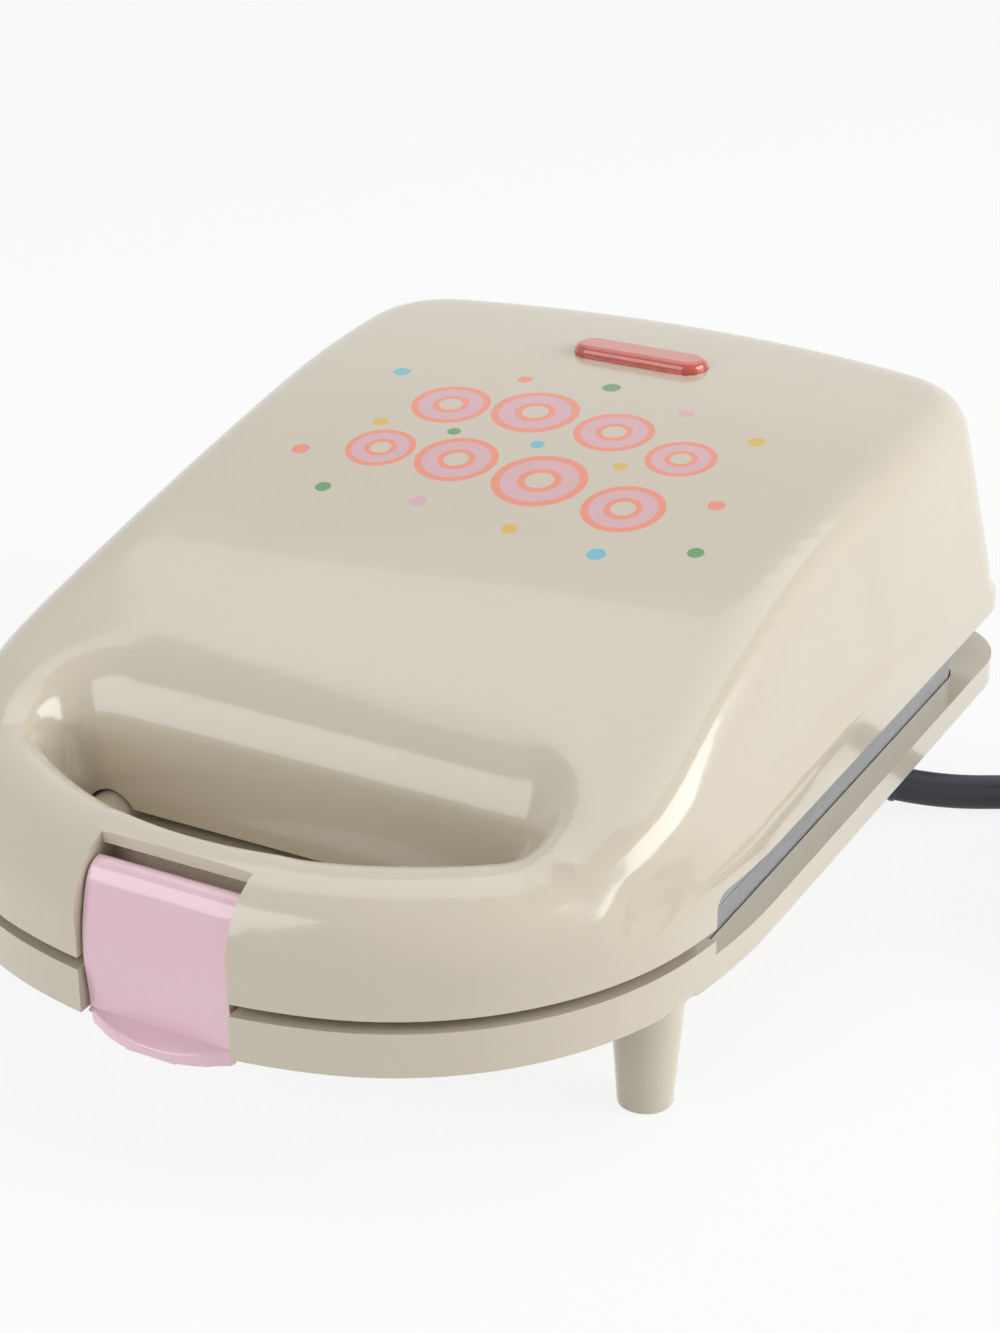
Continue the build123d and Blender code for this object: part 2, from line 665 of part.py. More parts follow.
# Ring plates, their heaters, shields and screws
upper_face = plate_parting + plate_gap
plate_works = [("lower", plate_parting, -1, plate_rim), ("upper", upper_face, 1, upper_rim)]
for name, face, up, rim in plate_works:
    with BuildPart() as cooking_plate:
        add(plate(face, up, rim))
        with BuildSketch(Plane.XY.offset(face + up * boss_height)):
            with Locations(*screw_places(up)):
                Circle(screw_radius + running)
        extrude(amount=-up * (boss_height if up > 0 else screw_bite), mode=Mode.SUBTRACT)
        if up > 0:
            with BuildSketch(Plane.XY.offset(face)):
                with Locations(*screw_places(up)):
                    Circle(screw_head_radius + clearance)
            extrude(amount=screw_head + clearance, mode=Mode.SUBTRACT)
    cooking_plate.part.label = name + "_plate"
    export_step(cooking_plate.part, "parts/" + name + "_plate.step")
    print(name, "plate", cooking_plate.part.volume, cooking_plate.part.is_valid, len(cooking_plate.solids()))
    with BuildPart() as tube:
        add(heater(face + up * rib_height))
    tube.part.label = name + "_heater"
    export_step(tube.part, "parts/" + name + "_heater.step")
    with BuildPart() as tray:
        add(shield(face + up * rib_height, up))
    tray.part.label = name + "_reflector"
    export_step(tray.part, "parts/" + name + "_reflector.step")
with BuildPart() as upper_plate_screws:
    add(screws(screw_places(1), upper_face + screw_head + clearance,
               boss_height - screw_head + screw_bite - 3 * clearance))
upper_plate_screws.part.label = "upper_plate_screws"
export_step(upper_plate_screws.part, "parts/upper_plate_screws.step")
with BuildPart() as lower_plate_screws:
    add(screws(screw_places(-1), base_screw_seat,
               plate_parting - boss_height + screw_bite - base_screw_seat - clearance))
lower_plate_screws.part.label = "lower_plate_screws"
export_step(lower_plate_screws.part, "parts/lower_plate_screws.step")

# Thermostat and thermal fuse under the lower plate
plate_back = plate_parting - plate_wall
with BuildPart() as thermostat:
    with BuildSketch(Plane.XY.offset(plate_back - thermostat_pad)):
        with Locations((0, plate_y)):
            Circle(thermostat_radius)
    extrude(amount=-thermostat_height)
    fillet(thermostat.edges().group_by(Axis.Z)[0], 1)
    with BuildSketch(Plane.XY.offset(plate_back - thermostat_pad - thermostat_height)):
        with Locations((-5, plate_y), (5, plate_y)):
            Rectangle(0.8, 5)
    extrude(amount=-tab_length)
thermostat.part.label = "thermostat"
export_step(thermostat.part, "parts/thermostat.step")

with BuildPart() as thermal_fuse:
    with BuildSketch(Plane.YZ.offset(fuse_start)):
        with Locations((plate_y, plate_back - fuse_radius)):
            Circle(fuse_radius)
    extrude(amount=fuse_length)
    with BuildSketch(Plane.YZ.offset(fuse_start - 1.5)):
        with Locations((plate_y, plate_back - fuse_radius)):
            Circle(fuse_radius / 3)
    extrude(amount=fuse_length + 3)
thermal_fuse.part.label = "thermal_fuse"
export_step(thermal_fuse.part, "parts/thermal_fuse.step")

# Latch: a curved face with a thumb tab, a boss on its pin and a nose behind the catch
with BuildPart() as latch:
    with BuildSketch(Plane.YZ):
        with BuildLine():
            face_line, tab_line, back_line = [[(front_y + y, z) for y, z in line]
                                              for line in (latch_face, latch_tab, latch_back)]
            Spline(face_line)
            Polyline(face_line[-1], *tab_line, *back_line, face_line[0])
        make_face()
        with Locations(latch_pivot):
            Circle(latch_boss_radius)
            Circle(pin_radius + running, mode=Mode.SUBTRACT)
    extrude(amount=latch_width / 2, both=True)
    with BuildSketch(Plane.XY):
        with BuildLine():
            Line((-latch_width / 2, latch_tab_root), (-latch_width / 2, -latch_pivot[1] - depth))
            Line((-latch_width / 2, -latch_pivot[1] - depth), (latch_width / 2, -latch_pivot[1] - depth))
            Line((latch_width / 2, -latch_pivot[1] - depth), (latch_width / 2, latch_tab_root))
            ThreePointArc((latch_width / 2, latch_tab_root), (0, -depth / 2),
                          (-latch_width / 2, latch_tab_root))
        make_face()
    extrude(amount=lid_front_edge - latch_tab_lift, mode=Mode.SUBTRACT)
latch.part.label = "latch"
export_step(latch.part, "parts/latch.step")

with BuildPart() as latch_pin:
    with BuildSketch(Plane.YZ):
        with Locations(latch_pivot):
            Circle(pin_radius)
    extrude(amount=latch_width / 2 + latch_side_gap + latch_rib - clearance, both=True)
latch_pin.part.label = "latch_pin"
export_step(latch_pin.part, "parts/latch_pin.step")


def belly(inset, bottom):
    """The hollow belly under the plates, from the rim down to its flat floor."""
    middle = (belly_front + belly_rear) / 2
    with BuildPart() as form:
        with BuildSketch(Plane.XY.offset(rim_bottom)):
            with Locations((0, middle)):
                RectangleRounded(2 * (belly_half_width - inset), belly_rear - belly_front - 2 * inset,
                                 belly_corner - inset)
        with BuildSketch(Plane.XY.offset(bottom)):
            with Locations((0, middle)):
                RectangleRounded(2 * (belly_half_width - belly_slope - inset),
                                 belly_rear - belly_front - 2 * belly_slope - 2 * inset,
                                 belly_floor_corner - inset)
        loft(ruled=True)
    return form.part


def grip(wall=0.0):
    """The base's own finger opening, wider to the rear."""
    with BuildSketch() as sketch:
        with BuildLine():
            ThreePointArc((-grip_front_half, grip_side_y), (0, opening_front_y),
                          (grip_front_half, grip_side_y))
            Polyline((grip_front_half, grip_side_y), (grip_half_width, grip_back_y),
                     (-grip_half_width, grip_back_y), (-grip_front_half, grip_side_y))
        make_face()
        fillet(sketch.vertices(), grip_round)
        if wall:
            offset(amount=wall)
    return sketch.sketch


exit_axis = Plane(exit_point, x_dir=(0, 0, 1),
                  z_dir=(cos(radians(exit_drop)) * cos(radians(exit_heading)),
                         cos(radians(exit_drop)) * sin(radians(exit_heading)), -sin(radians(exit_drop))))

# Base cover: rim, hollow belly, handle bay, feet, catch, hinge knuckles and the cord's outlet
with BuildPart() as base_cover:
    with BuildSketch(Plane.XY.offset(rim_bottom)):
        add(plan())
    extrude(amount=rim_front - rim_bottom)
    with BuildSketch(Plane.YZ):
        with Locations((side_step_y, rim_side)):
            Rectangle(depth, rim_front, align=(Align.MIN, Align.MIN))
    extrude(amount=half_width, both=True, mode=Mode.SUBTRACT)
    add(belly(0, belly_bottom))
    fillet(base_cover.edges().group_by(Axis.Z)[0], belly_edge)
    with BuildSketch(Plane.XY.offset(rim_bottom)):
        add(plan(base_wall))
        with Locations((0, bay_rear_y)):
            Rectangle(3 * half_width, 2 * depth, align=(Align.CENTER, Align.MIN), mode=Mode.SUBTRACT)
    extrude(amount=rim_front - base_wall - rim_bottom, mode=Mode.SUBTRACT)
    add(belly(base_wall, belly_bottom + base_wall), mode=Mode.SUBTRACT)
    with BuildSketch(Plane.XY.offset(rim_bottom)):
        with Locations((0, (belly_front + belly_rear) / 2)):
            RectangleRounded(2 * (belly_half_width - base_wall), belly_rear - belly_front - 2 * base_wall,
                             belly_corner - base_wall)
    extrude(amount=deck_under - rim_bottom, mode=Mode.SUBTRACT)
    with BuildSketch(Plane.XY.offset(deck_under)):
        with Locations((0, plate_y)):
            RectangleRounded(2 * (plate_half_width - plate_ledge), 2 * (plate_half_depth - plate_ledge),
                             plate_corner_radius - plate_ledge / 2)
    extrude(amount=rim_front, mode=Mode.SUBTRACT)
    with BuildSketch(Plane.XY.offset(plate_parting - plate_rim)):
        with Locations((0, plate_y)):
            RectangleRounded(2 * (plate_half_width + clearance), 2 * (plate_half_depth + clearance),
                             plate_corner_radius + clearance)
    extrude(amount=rim_front, mode=Mode.SUBTRACT)
    with BuildSketch(Plane.XY.offset(rim_bottom)):
        add(grip(base_wall))
        with Locations((0, front_y + base_wall)):
            Rectangle(latch_width + 2 * latch_side_gap + 2 * latch_rib, catch_y + catch_depth - front_y,
                      align=(Align.CENTER, Align.MIN))
    extrude(amount=rim_front - rim_bottom)
    with BuildSketch(Plane.XY.offset(rim_bottom)):
        add(grip())
    extrude(amount=rim_front, mode=Mode.SUBTRACT)
    with BuildSketch(Plane.YZ):
        with Locations((catch_y, 0)):
            Rectangle(depth, lid_top, align=(Align.MAX, Align.MIN))
        with Locations((catch_y + catch_depth, 0)):
            Rectangle(depth, catch_z, align=(Align.MAX, Align.MIN))
    extrude(amount=latch_width / 2 + latch_side_gap, both=True, mode=Mode.SUBTRACT)
    with BuildSketch(Plane.XZ.offset(-notch_boss_front)):
        with Locations((-notch_place, rim_front - base_wall / 2), (notch_place, rim_front - base_wall / 2)):
            Rectangle(2 * (notch_radius - notch_gap), base_wall)
        with Locations((-notch_place, rim_front), (notch_place, rim_front)):
            Circle(notch_radius - notch_gap)
        with Locations((0, rim_front - base_wall)):
            Rectangle(2 * half_width, 2 * notch_radius, align=(Align.CENTER, Align.MAX), mode=Mode.SUBTRACT)
    extrude(amount=notch_boss_front - plate_front_y + 2 * clearance)
    with BuildSketch(Plane.XY.offset(belly_bottom)):
        with Locations(*screw_places(-1)):
            Circle(boss_radius)
    extrude(amount=plate_parting - boss_height - belly_bottom)
    with Locations(*[(side * x, y) for x, y in (front_foot, rear_foot) for side in (-1, 1)]):
        Cone(foot_radius, foot_radius + foot_flare, rim_bottom,
             align=(Align.CENTER, Align.CENTER, Align.MIN))
    with BuildSketch(exit_axis):
        Circle(hub_radius)
    extrude(amount=-hub_length)
    with BuildSketch(exit_axis):
        Circle(scoop_radius + scoop_wall)
    extrude(amount=scoop_length)
    with BuildSketch(Plane.XY.offset(belly_bottom)):
        with Locations(*screw_places(-1)):
            Circle(screw_head_radius + clearance)
    extrude(amount=base_screw_seat - belly_bottom, mode=Mode.SUBTRACT)
    with BuildSketch(Plane.XY.offset(belly_bottom)):
        with Locations(*screw_places(-1)):
            Circle(screw_radius + running)
    extrude(amount=rim_bottom, mode=Mode.SUBTRACT)
    with BuildSketch(exit_axis):
        Circle(scoop_radius)
    extrude(amount=2 * scoop_length, mode=Mode.SUBTRACT)
    with BuildSketch(exit_axis):
        Circle(boot_neck_radius + running)
    extrude(amount=-hub_length - hub_radius, mode=Mode.SUBTRACT)
    with BuildSketch(exit_axis.offset(-collar_back)):
        Circle(collar_radius + running)
    extrude(amount=-collar_length - 2 * running, mode=Mode.SUBTRACT)
    for side in (1, -1):
        with BuildSketch(Plane.YZ.offset(side * base_knuckle[0])):
            with Locations((hinge_y, hinge_z)):
                Circle(knuckle_radius)
            with Locations((hinge_y - knuckle_arm, hinge_z)):
                Rectangle(knuckle_arm + knuckle_web, hinge_z - deck_under, align=(Align.MIN, Align.MAX))
            with Locations((hinge_y, hinge_z)):
                Circle(pin_radius + running, mode=Mode.SUBTRACT)
        extrude(amount=side * (base_knuckle[1] - base_knuckle[0]))
base_cover.part.label = "base_cover"
export_step(base_cover.part, "parts/base_cover.step")
print("base cover", base_cover.part.volume, base_cover.part.is_valid, len(base_cover.solids()))

with BuildPart() as hinge_pins:
    for side in (1, -1):
        with BuildSketch(Plane.YZ.offset(side * (base_knuckle[0] + clearance))):
            with Locations((hinge_y, hinge_z)):
                Circle(pin_radius)
        extrude(amount=side * (lid_knuckle[1] - base_knuckle[0] - 2 * clearance))
hinge_pins.part.label = "hinge_pins"
export_step(hinge_pins.part, "parts/hinge_pins.step")

# Strain relief: a ringed taper outside, a neck through the wall and a collar that locks in it
with BuildPart() as strain_relief:
    with BuildSketch(exit_axis) as root:
        Circle(boot_root_radius)
    with BuildSketch(exit_axis.offset(boot_length)) as tip:
        Circle(cord_diameter / 2 + boot_tip)
    loft(ruled=True)
    groove_places = [boot_length * (step + 0.5) / boot_rings for step in range(1, boot_rings)]
    with BuildSketch(*[exit_axis.offset(place) for place in groove_places]):
        Circle(boot_root_radius)
        Circle(cord_diameter / 2, mode=Mode.SUBTRACT)
    extrude(amount=boot_groove, mode=Mode.SUBTRACT)
    with BuildSketch(exit_axis):
        Circle(boot_neck_radius)
    extrude(amount=-hub_length)
    with BuildSketch(exit_axis.offset(-collar_back - running)):
        Circle(collar_radius)
    extrude(amount=-collar_length)
strain_relief.part.label = "strain_relief"
export_step(strain_relief.part, "parts/strain_relief.step")
print("strain relief", strain_relief.part.volume, strain_relief.part.is_valid, len(strain_relief.solids()))

# Terminal block and wiring on the belly's floor
with BuildPart() as terminal_block:
    with BuildSketch(Plane.XY.offset(belly_bottom + base_wall)):
        with Locations(block_place):
            Rectangle(block_width, block_depth)
    extrude(amount=block_height)
    chamfer(terminal_block.edges().group_by(Axis.Z)[-1], 0.8)
    with BuildSketch(Plane.XY.offset(belly_bottom + base_wall + block_height)):
        with Locations(block_place):
            with GridLocations(block_width / 3, 1, 3, 1):
                Circle(block_screw)
    extrude(amount=-block_height / 3, mode=Mode.SUBTRACT)
terminal_block.part.label = "terminal_block"
export_step(terminal_block.part, "parts/terminal_block.step")


def cord_run(points, radius, diameter):
    """A tube of straight runs joined by tangent arcs, square to its first run."""
    vectors = [Vector(*point) for point in points]
    radii = []
    for before, here, after in zip(vectors, vectors[1:], vectors[2:]):
        turn = radians((here - before).get_angle(after - here))
        radii.append(radius or 0.45 * min((here - before).length, (after - here).length) / tan(turn / 2))
    with BuildPart() as form:
        with BuildLine() as path:
            FilletPolyline(points, radius=radii)
        with BuildSketch(Plane(points[0], z_dir=vectors[1] - vectors[0])):
            Circle(diameter / 2)
        sweep()
    length = path.wire().length
    print("run", round(length, 1), "radii", [round(value, 1) for value in radii],
          "volume ratio", round(form.part.volume / (pi * diameter ** 2 / 4 * length), 4))
    return form.part


block_front = block_place[1] - block_depth / 2
pin_z = plate_parting - rib_height
wire_z = belly_bottom + base_wall + wire_rise
heater_pin_x = heater_end_x - terminal_length
with BuildPart() as lower_wiring:
    for side in (-1, 1):
        add(cord_run([(side * block_width / 3, block_front, wire_z),
                      (side * block_width / 3, block_front - wire_slack, wire_z),
                      (side * heater_pin_x, plate_y + ring_pitch / 2 + wire_slack, pin_z),
                      (side * heater_pin_x, plate_y + ring_pitch / 2 + terminal_radius, pin_z)],
                     wire_bend, wire_diameter))
lower_wiring.part.label = "lower_wiring"
export_step(lower_wiring.part, "parts/lower_wiring.step")

# Cord: the lead from the strain relief, its coil, a tail and the plug
heading = radians(coil_heading)
coil_start = Vector(coil_centre[0] - coil_radius * sin(heading), coil_centre[1] + coil_radius * cos(heading),
                    coil_height)
along = Vector(cos(heading), sin(heading), 0)
boot_end = exit_axis.location.position + exit_axis.z_dir * boot_length
touch_down = boot_end + exit_axis.z_dir * exit_run
lead_end = coil_start - along * cord_diameter
lead_points = [tuple(boot_end), tuple(touch_down), lead_middle, tuple(lead_end - along * lead_last),
               tuple(lead_end)]
with BuildPart() as cord_lead:
    add(cord_run(lead_points, None, cord_diameter))
cord_lead.part.label = "cord_lead"
export_step(cord_lead.part, "parts/cord_lead.step")

radial = (coil_start - Vector(coil_centre[0], coil_centre[1], coil_height)).normalized()
upward = Vector(0, 0, 1)
start_point = coil_start
outward = radial
with BuildPart() as cord_coil:
    with BuildLine() as coil_path:
        Line(coil_start - along * cord_diameter, coil_start)
        for shrink, climb in coil_turns:
            turn_radius = coil_radius - shrink * coil_pitch / 2
            opposite = start_point - outward * 2 * turn_radius + upward * climb * coil_pitch
            forward = outward.cross(upward)
            middle = (start_point + opposite) / 2 + forward * ((opposite - start_point).length / 2)
            ThreePointArc(start_point, middle, opposite)
            start_point = opposite
            outward = -outward
        forward = outward.cross(upward)
        centre = start_point - outward * coil_radius
        quarter_end = centre + forward * coil_radius
        ThreePointArc(start_point, centre + (outward + forward) * (coil_radius / sqrt(2)), quarter_end)
        Line(quarter_end, quarter_end - outward * cord_diameter)
    with BuildSketch(Plane(coil_start - along * cord_diameter, z_dir=along)):
        Circle(cord_diameter / 2)
    sweep()
coil_wire = coil_path.wire()
print("coil", round(coil_wire.length, 1), "volume ratio",
      round(cord_coil.part.volume / (pi * cord_diameter ** 2 / 4 * coil_wire.length), 4),
      cord_coil.part.is_valid)
cord_coil.part.label = "cord_coil"
export_step(cord_coil.part, "parts/cord_coil.step")

# Least gap of the coil to itself, on points along its middle line
samples = [coil_wire.position_at(step / coil_steps) for step in range(coil_steps + 1)]
skip = int(coil_steps * 3 * cord_diameter / coil_wire.length)
gap = min((samples[a] - samples[b]).length
          for a in range(coil_steps + 1) for b in range(a + skip, coil_steps + 1))
print("coil gap to itself", round(gap - cord_diameter, 2))

tail_way = -outward
tail_start = quarter_end + tail_way * cord_diameter
tail_drop = upward * (plug_axis_z - tail_start.Z)
tail_points = [tuple(tail_start), tuple(tail_start + tail_way * tail_run),
               tuple(tail_start + tail_way * 2 * tail_run + tail_drop),
               tuple(tail_start + tail_way * 3 * tail_run + tail_drop)]
with BuildPart() as cord_tail:
    add(cord_run(tail_points, None, cord_diameter))
cord_tail.part.label = "cord_tail"
export_step(cord_tail.part, "parts/cord_tail.step")

plug_axis = Plane(Vector(*tail_points[-1]), x_dir=tail_way.cross(upward), z_dir=tail_way)
with BuildPart() as plug:
    with BuildSketch(plug_axis):
        Circle(cord_diameter / 2 + boot_tip)
    with BuildSketch(plug_axis.offset(plug_boot)):
        Circle(plug_thickness / 2 - 1)
    loft(ruled=True)
    with BuildSketch(plug_axis.offset(plug_boot)):
        RectangleRounded(plug_width * 0.7, plug_thickness, plug_thickness / 2 - 0.5)
    with BuildSketch(plug_axis.offset(plug_boot + plug_length * 0.6)):
        RectangleRounded(plug_width, plug_thickness, plug_thickness / 2 - 0.5)
    loft(ruled=True)
    with BuildSketch(plug_axis.offset(plug_boot + plug_length * 0.6)):
        RectangleRounded(plug_width, plug_thickness, plug_thickness / 2 - 0.5)
    extrude(amount=plug_length * 0.4)
plug.part.label = "plug"
export_step(plug.part, "parts/plug.step")

with BuildPart() as plug_blades:
    with BuildSketch(plug_axis.offset(plug_boot + plug_length)):
        with Locations((-blade_pitch / 2, 0), (blade_pitch / 2, 0)):
            Rectangle(blade_thickness, blade_width)
    extrude(amount=blade_length)
plug_blades.part.label = "plug_blades"
export_step(plug_blades.part, "parts/plug_blades.step")

# Tie round the coil's bundle
tie_angle = radians(tie_heading)
tie_middle = Vector(coil_centre[0] + cos(tie_angle) * tie_radius,
                    coil_centre[1] + sin(tie_angle) * tie_radius, coil_height + coil_pitch / 2)
tie_plane = Plane(tie_middle, x_dir=(cos(tie_angle), sin(tie_angle), 0),
                  z_dir=(sin(tie_angle), -cos(tie_angle), 0))
with BuildPart() as cord_tie:
    with BuildSketch(tie_plane):
        RectangleRounded(tie_inner_width + 2 * tie_thickness, tie_inner_height + 2 * tie_thickness,
                         tie_corner)
        RectangleRounded(tie_inner_width, tie_inner_height, tie_corner - tie_thickness, mode=Mode.SUBTRACT)
    extrude(amount=tie_width / 2, both=True)
cord_tie.part.label = "cord_tie"
export_step(cord_tie.part, "parts/cord_tie.step")
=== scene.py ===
# %% [markdown]
# A cooker for four small ring cakes, dressed for a studio picture.
# The pieces come from the engineering model, so they already have their real size and
# place. This lesson gives them their finish, lays the cord and sets up the studio.
# Lengths are in metres, X runs to the right, Y to the back and Z up.

# %% Load the model
import json
import math

import bmesh
import bpy
from mathutils import Matrix, Vector

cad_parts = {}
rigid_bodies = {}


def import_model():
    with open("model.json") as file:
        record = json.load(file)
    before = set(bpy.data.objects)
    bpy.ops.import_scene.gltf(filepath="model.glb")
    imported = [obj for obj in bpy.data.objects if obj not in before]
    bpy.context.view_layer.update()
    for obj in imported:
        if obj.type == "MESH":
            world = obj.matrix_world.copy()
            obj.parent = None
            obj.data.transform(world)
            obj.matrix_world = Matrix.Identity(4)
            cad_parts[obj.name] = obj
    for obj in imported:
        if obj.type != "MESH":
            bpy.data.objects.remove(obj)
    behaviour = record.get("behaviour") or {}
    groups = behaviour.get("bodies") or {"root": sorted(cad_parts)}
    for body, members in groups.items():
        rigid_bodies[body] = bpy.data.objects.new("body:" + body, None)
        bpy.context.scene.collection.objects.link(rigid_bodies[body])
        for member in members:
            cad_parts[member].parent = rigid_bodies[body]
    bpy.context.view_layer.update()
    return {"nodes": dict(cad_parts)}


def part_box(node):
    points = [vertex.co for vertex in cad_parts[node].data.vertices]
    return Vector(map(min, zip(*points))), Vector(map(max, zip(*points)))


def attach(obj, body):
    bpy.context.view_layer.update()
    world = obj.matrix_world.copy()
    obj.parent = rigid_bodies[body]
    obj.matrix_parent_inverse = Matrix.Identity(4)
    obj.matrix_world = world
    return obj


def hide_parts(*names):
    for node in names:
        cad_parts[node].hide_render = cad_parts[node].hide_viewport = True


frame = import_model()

nodes = frame["nodes"]
scene = bpy.context.scene
print("pieces from the model:", len(nodes))

# %% [markdown]
# The camera comes first, because everything is judged through it. A product picture
# like this is taken from a short distance above, with a long lens, so that the object
# keeps its proportions. Blender wants the camera's own axes: right, up and backwards.

# %% Camera
CAMERA_PLACE = Vector((0.2194, -0.3923, 0.2554))
CAMERA_RIGHT = Vector((0.8791, 0.4767, 0.0))
CAMERA_UP = Vector((-0.2049, 0.3777, 0.9030))
CAMERA_BACK = Vector((0.4305, -0.7938, 0.4297))
SENSOR = 36.0
FOCAL_PIXELS = 2756
PICTURE_HEIGHT = 1333
NEAREST_SEEN = 0.01

camera_data = bpy.data.cameras.new("camera")
camera_data.sensor_width = SENSOR
camera_data.lens = FOCAL_PIXELS * SENSOR / PICTURE_HEIGHT
camera_data.clip_start = NEAREST_SEEN
camera = bpy.data.objects.new("camera", camera_data)
turn = Matrix((CAMERA_RIGHT, CAMERA_UP, CAMERA_BACK)).transposed()
camera.matrix_world = Matrix.Translation(CAMERA_PLACE) @ turn.to_4x4()
scene.collection.objects.link(camera)
scene.camera = camera
print("lens:", round(camera_data.lens, 1), "mm")

# %% [markdown]
# Materials are written as small recipes. A socket is wrapped in a class that knows
# plus, minus and times, so that a formula for the roughness or the colour mask reads
# like the formula itself, and each sign adds one Math node behind the scenes.


# %% Formulas made of nodes
class Wire:
    """An output socket that can be used in a formula."""

    def __init__(self, recipe, socket):
        self.recipe, self.socket = recipe, socket

    def maths(self, operation, *values):
        """A Math node that works on these values."""
        return self.recipe.node("ShaderNodeMath", {"operation": operation}, dict(enumerate(values)))

    def __add__(self, other):
        return self.maths("ADD", self, other)

    def __radd__(self, other):
        return self.maths("ADD", other, self)

    def __sub__(self, other):
        return self.maths("SUBTRACT", self, other)

    def __rsub__(self, other):
        return self.maths("SUBTRACT", other, self)

    def __mul__(self, other):
        return self.maths("MULTIPLY", self, other)

    def __rmul__(self, other):
        return self.maths("MULTIPLY", other, self)

    def __truediv__(self, other):
        return self.maths("DIVIDE", self, other)

    def __gt__(self, other):
        return self.maths("GREATER_THAN", self, other)

    def size(self):
        """The value without its sign."""
        return self.maths("ABSOLUTE", self)

    def root(self):
        return self.maths("SQRT", self)

    def at_least(self, other):
        return self.maths("MAXIMUM", self, other)

    def clamp(self):
        """The value kept between 0 and 1."""
        return self.recipe.node("ShaderNodeClamp", {}, {0: self})

    def edge(self, at, width):
        """0 above a value and 1 below it, with a soft edge of that width."""
        return ((at - self) / width + 0.5).clamp()


# %% [markdown]
# A recipe holds one material. Every pattern in it reads the Object coordinates, so it
# stays in place on the piece when the lid opens. A Mix node has its sockets for colours
# behind those for numbers and vectors, so they are reached by their position.

# %% Recipes for materials
MIX_FACTOR, MIX_FIRST, MIX_SECOND = 0, 6, 7
MIX_RESULT = 2


class Recipe:
    """One material and the nodes it is made of."""

    def __init__(self, name):
        self.material = bpy.data.materials.new(name)
        self.material.use_nodes = True
        self.tree = self.material.node_tree
        self.shader = self.tree.nodes["Principled BSDF"]
        self.place = self.node("ShaderNodeTexCoord", {}, {}, "Object")

    def node(self, kind, settings, sockets, output=0):
        """Any node: its settings first, then its sockets."""
        made = self.tree.nodes.new(kind)
        for name, value in settings.items():
            setattr(made, name, value)
        for name, value in sockets.items():
            self.feed(made.inputs[name], value)
        return Wire(self, made.outputs[output])

    def feed(self, socket, value):
        """Gives a socket a link, a colour or a number."""
        if isinstance(value, Wire):
            self.tree.links.new(value.socket, socket)
        elif isinstance(value, tuple) and len(value) == 3 and socket.type == "RGBA":
            socket.default_value = (*value, 1)
        else:
            socket.default_value = value

    def along(self, axis):
        """One coordinate, X, Y or Z, of the point that is shaded."""
        return self.node("ShaderNodeSeparateXYZ", {}, {0: self.place}, axis)

    def noise(self, scale, detail):
        sockets = {"Vector": self.place, "Scale": scale, "Detail": detail}
        return self.node("ShaderNodeTexNoise", {}, sockets)

    def blend(self, mask, first, second):
        """The first colour where the mask is 0, the second where it is 1."""
        sockets = {MIX_FACTOR: mask, MIX_FIRST: first, MIX_SECOND: second}
        return self.node("ShaderNodeMix", {"data_type": "RGBA"}, sockets, MIX_RESULT)

    def bump(self, height, depth):
        """A surface that seems to rise by this depth where the height goes from 0 to 1."""
        return self.node("ShaderNodeBump", {}, {"Height": height, "Distance": depth})

    def finish(self, **sockets):
        """Sets the shader's sockets, named with an underscore for each space."""
        for name, value in sockets.items():
            self.feed(self.shader.inputs[name.replace("_", " ")], value)
        return self.material


def dress(material, *names):
    """Gives model pieces a material in place of the plain one."""
    finish_with(material, *(nodes[name] for name in names))


def finish_with(material, *pieces):
    """Gives pieces their material."""
    for piece in pieces:
        piece.data.materials.clear()
        piece.data.materials.append(material)


def from_screen(red, green, blue):
    """A colour as read on a screen, 0 to 255, as Blender's linear value."""
    return tuple(((value / 255 + 0.055) / 1.055) ** 2.4 for value in (red, green, blue))


# %% [markdown]
# The cord is a flat two-core lead. It is one curve: straight out of its strain relief,
# down to the table, and then into a neat coil behind the object, held by a tie, with
# the plug at its end. First come the places that its route is made from.

# %% The cord's route
UPWARD = Vector((0, 0, 1))
EXIT = Vector((0.0439, 0.0516, 0.0095))
EXIT_HEADING = math.radians(25.5)
EXIT_DROP = math.radians(12.0)
BOOT_LENGTH = 0.020
EXIT_RUN = 0.0084
CORD_WIDTH = 0.007
LEAD_MIDDLE = Vector((0.0835, 0.0710, 0.0038))
LEAD_LAST = 0.015
COIL_CENTRE = Vector((0.142, 0.051, 0.0044))
COIL_RADIUS = 0.046
COIL_HEADING = math.radians(29.5)


def heading(angle):
    """A level direction, from its angle to the X axis."""
    return Vector((math.cos(angle), math.sin(angle), 0))


way_out = heading(EXIT_HEADING) * math.cos(EXIT_DROP) - UPWARD * math.sin(EXIT_DROP)
along = heading(COIL_HEADING)
outward = UPWARD.cross(along)
boot_end = EXIT + way_out * BOOT_LENGTH
coil_start = COIL_CENTRE + outward * COIL_RADIUS
lead_end = coil_start - along * CORD_WIDTH
route = [boot_end, boot_end + way_out * EXIT_RUN, LEAD_MIDDLE,
         lead_end - along * LEAD_LAST, lead_end]
print("route of the lead:", [tuple(round(value, 4) for value in point) for point in route])

# %% [markdown]
# A NURBS curve bends smoothly near its points without touching them: a curve of order 3
# comes (6 + 2 cos) / 8 of the way out to each, for the angle from one to the next. The
# points of the coil lie that much outside its turns. The turns are laid by halves. Each
# half has two numbers: by how many half pitches it is narrower than the first, and by
# how many pitches it climbs.

# %% Turns of the coil and the tail
COIL_PITCH = 0.0076
HALF_TURNS = [(0, 0), (1, 0), (2, 1), (1, 0)]
HALF_TURN_POINTS = 9
QUARTER_TURN_POINTS = 5
TAIL_RUN = 0.015
PLUG_AXIS = 0.0072


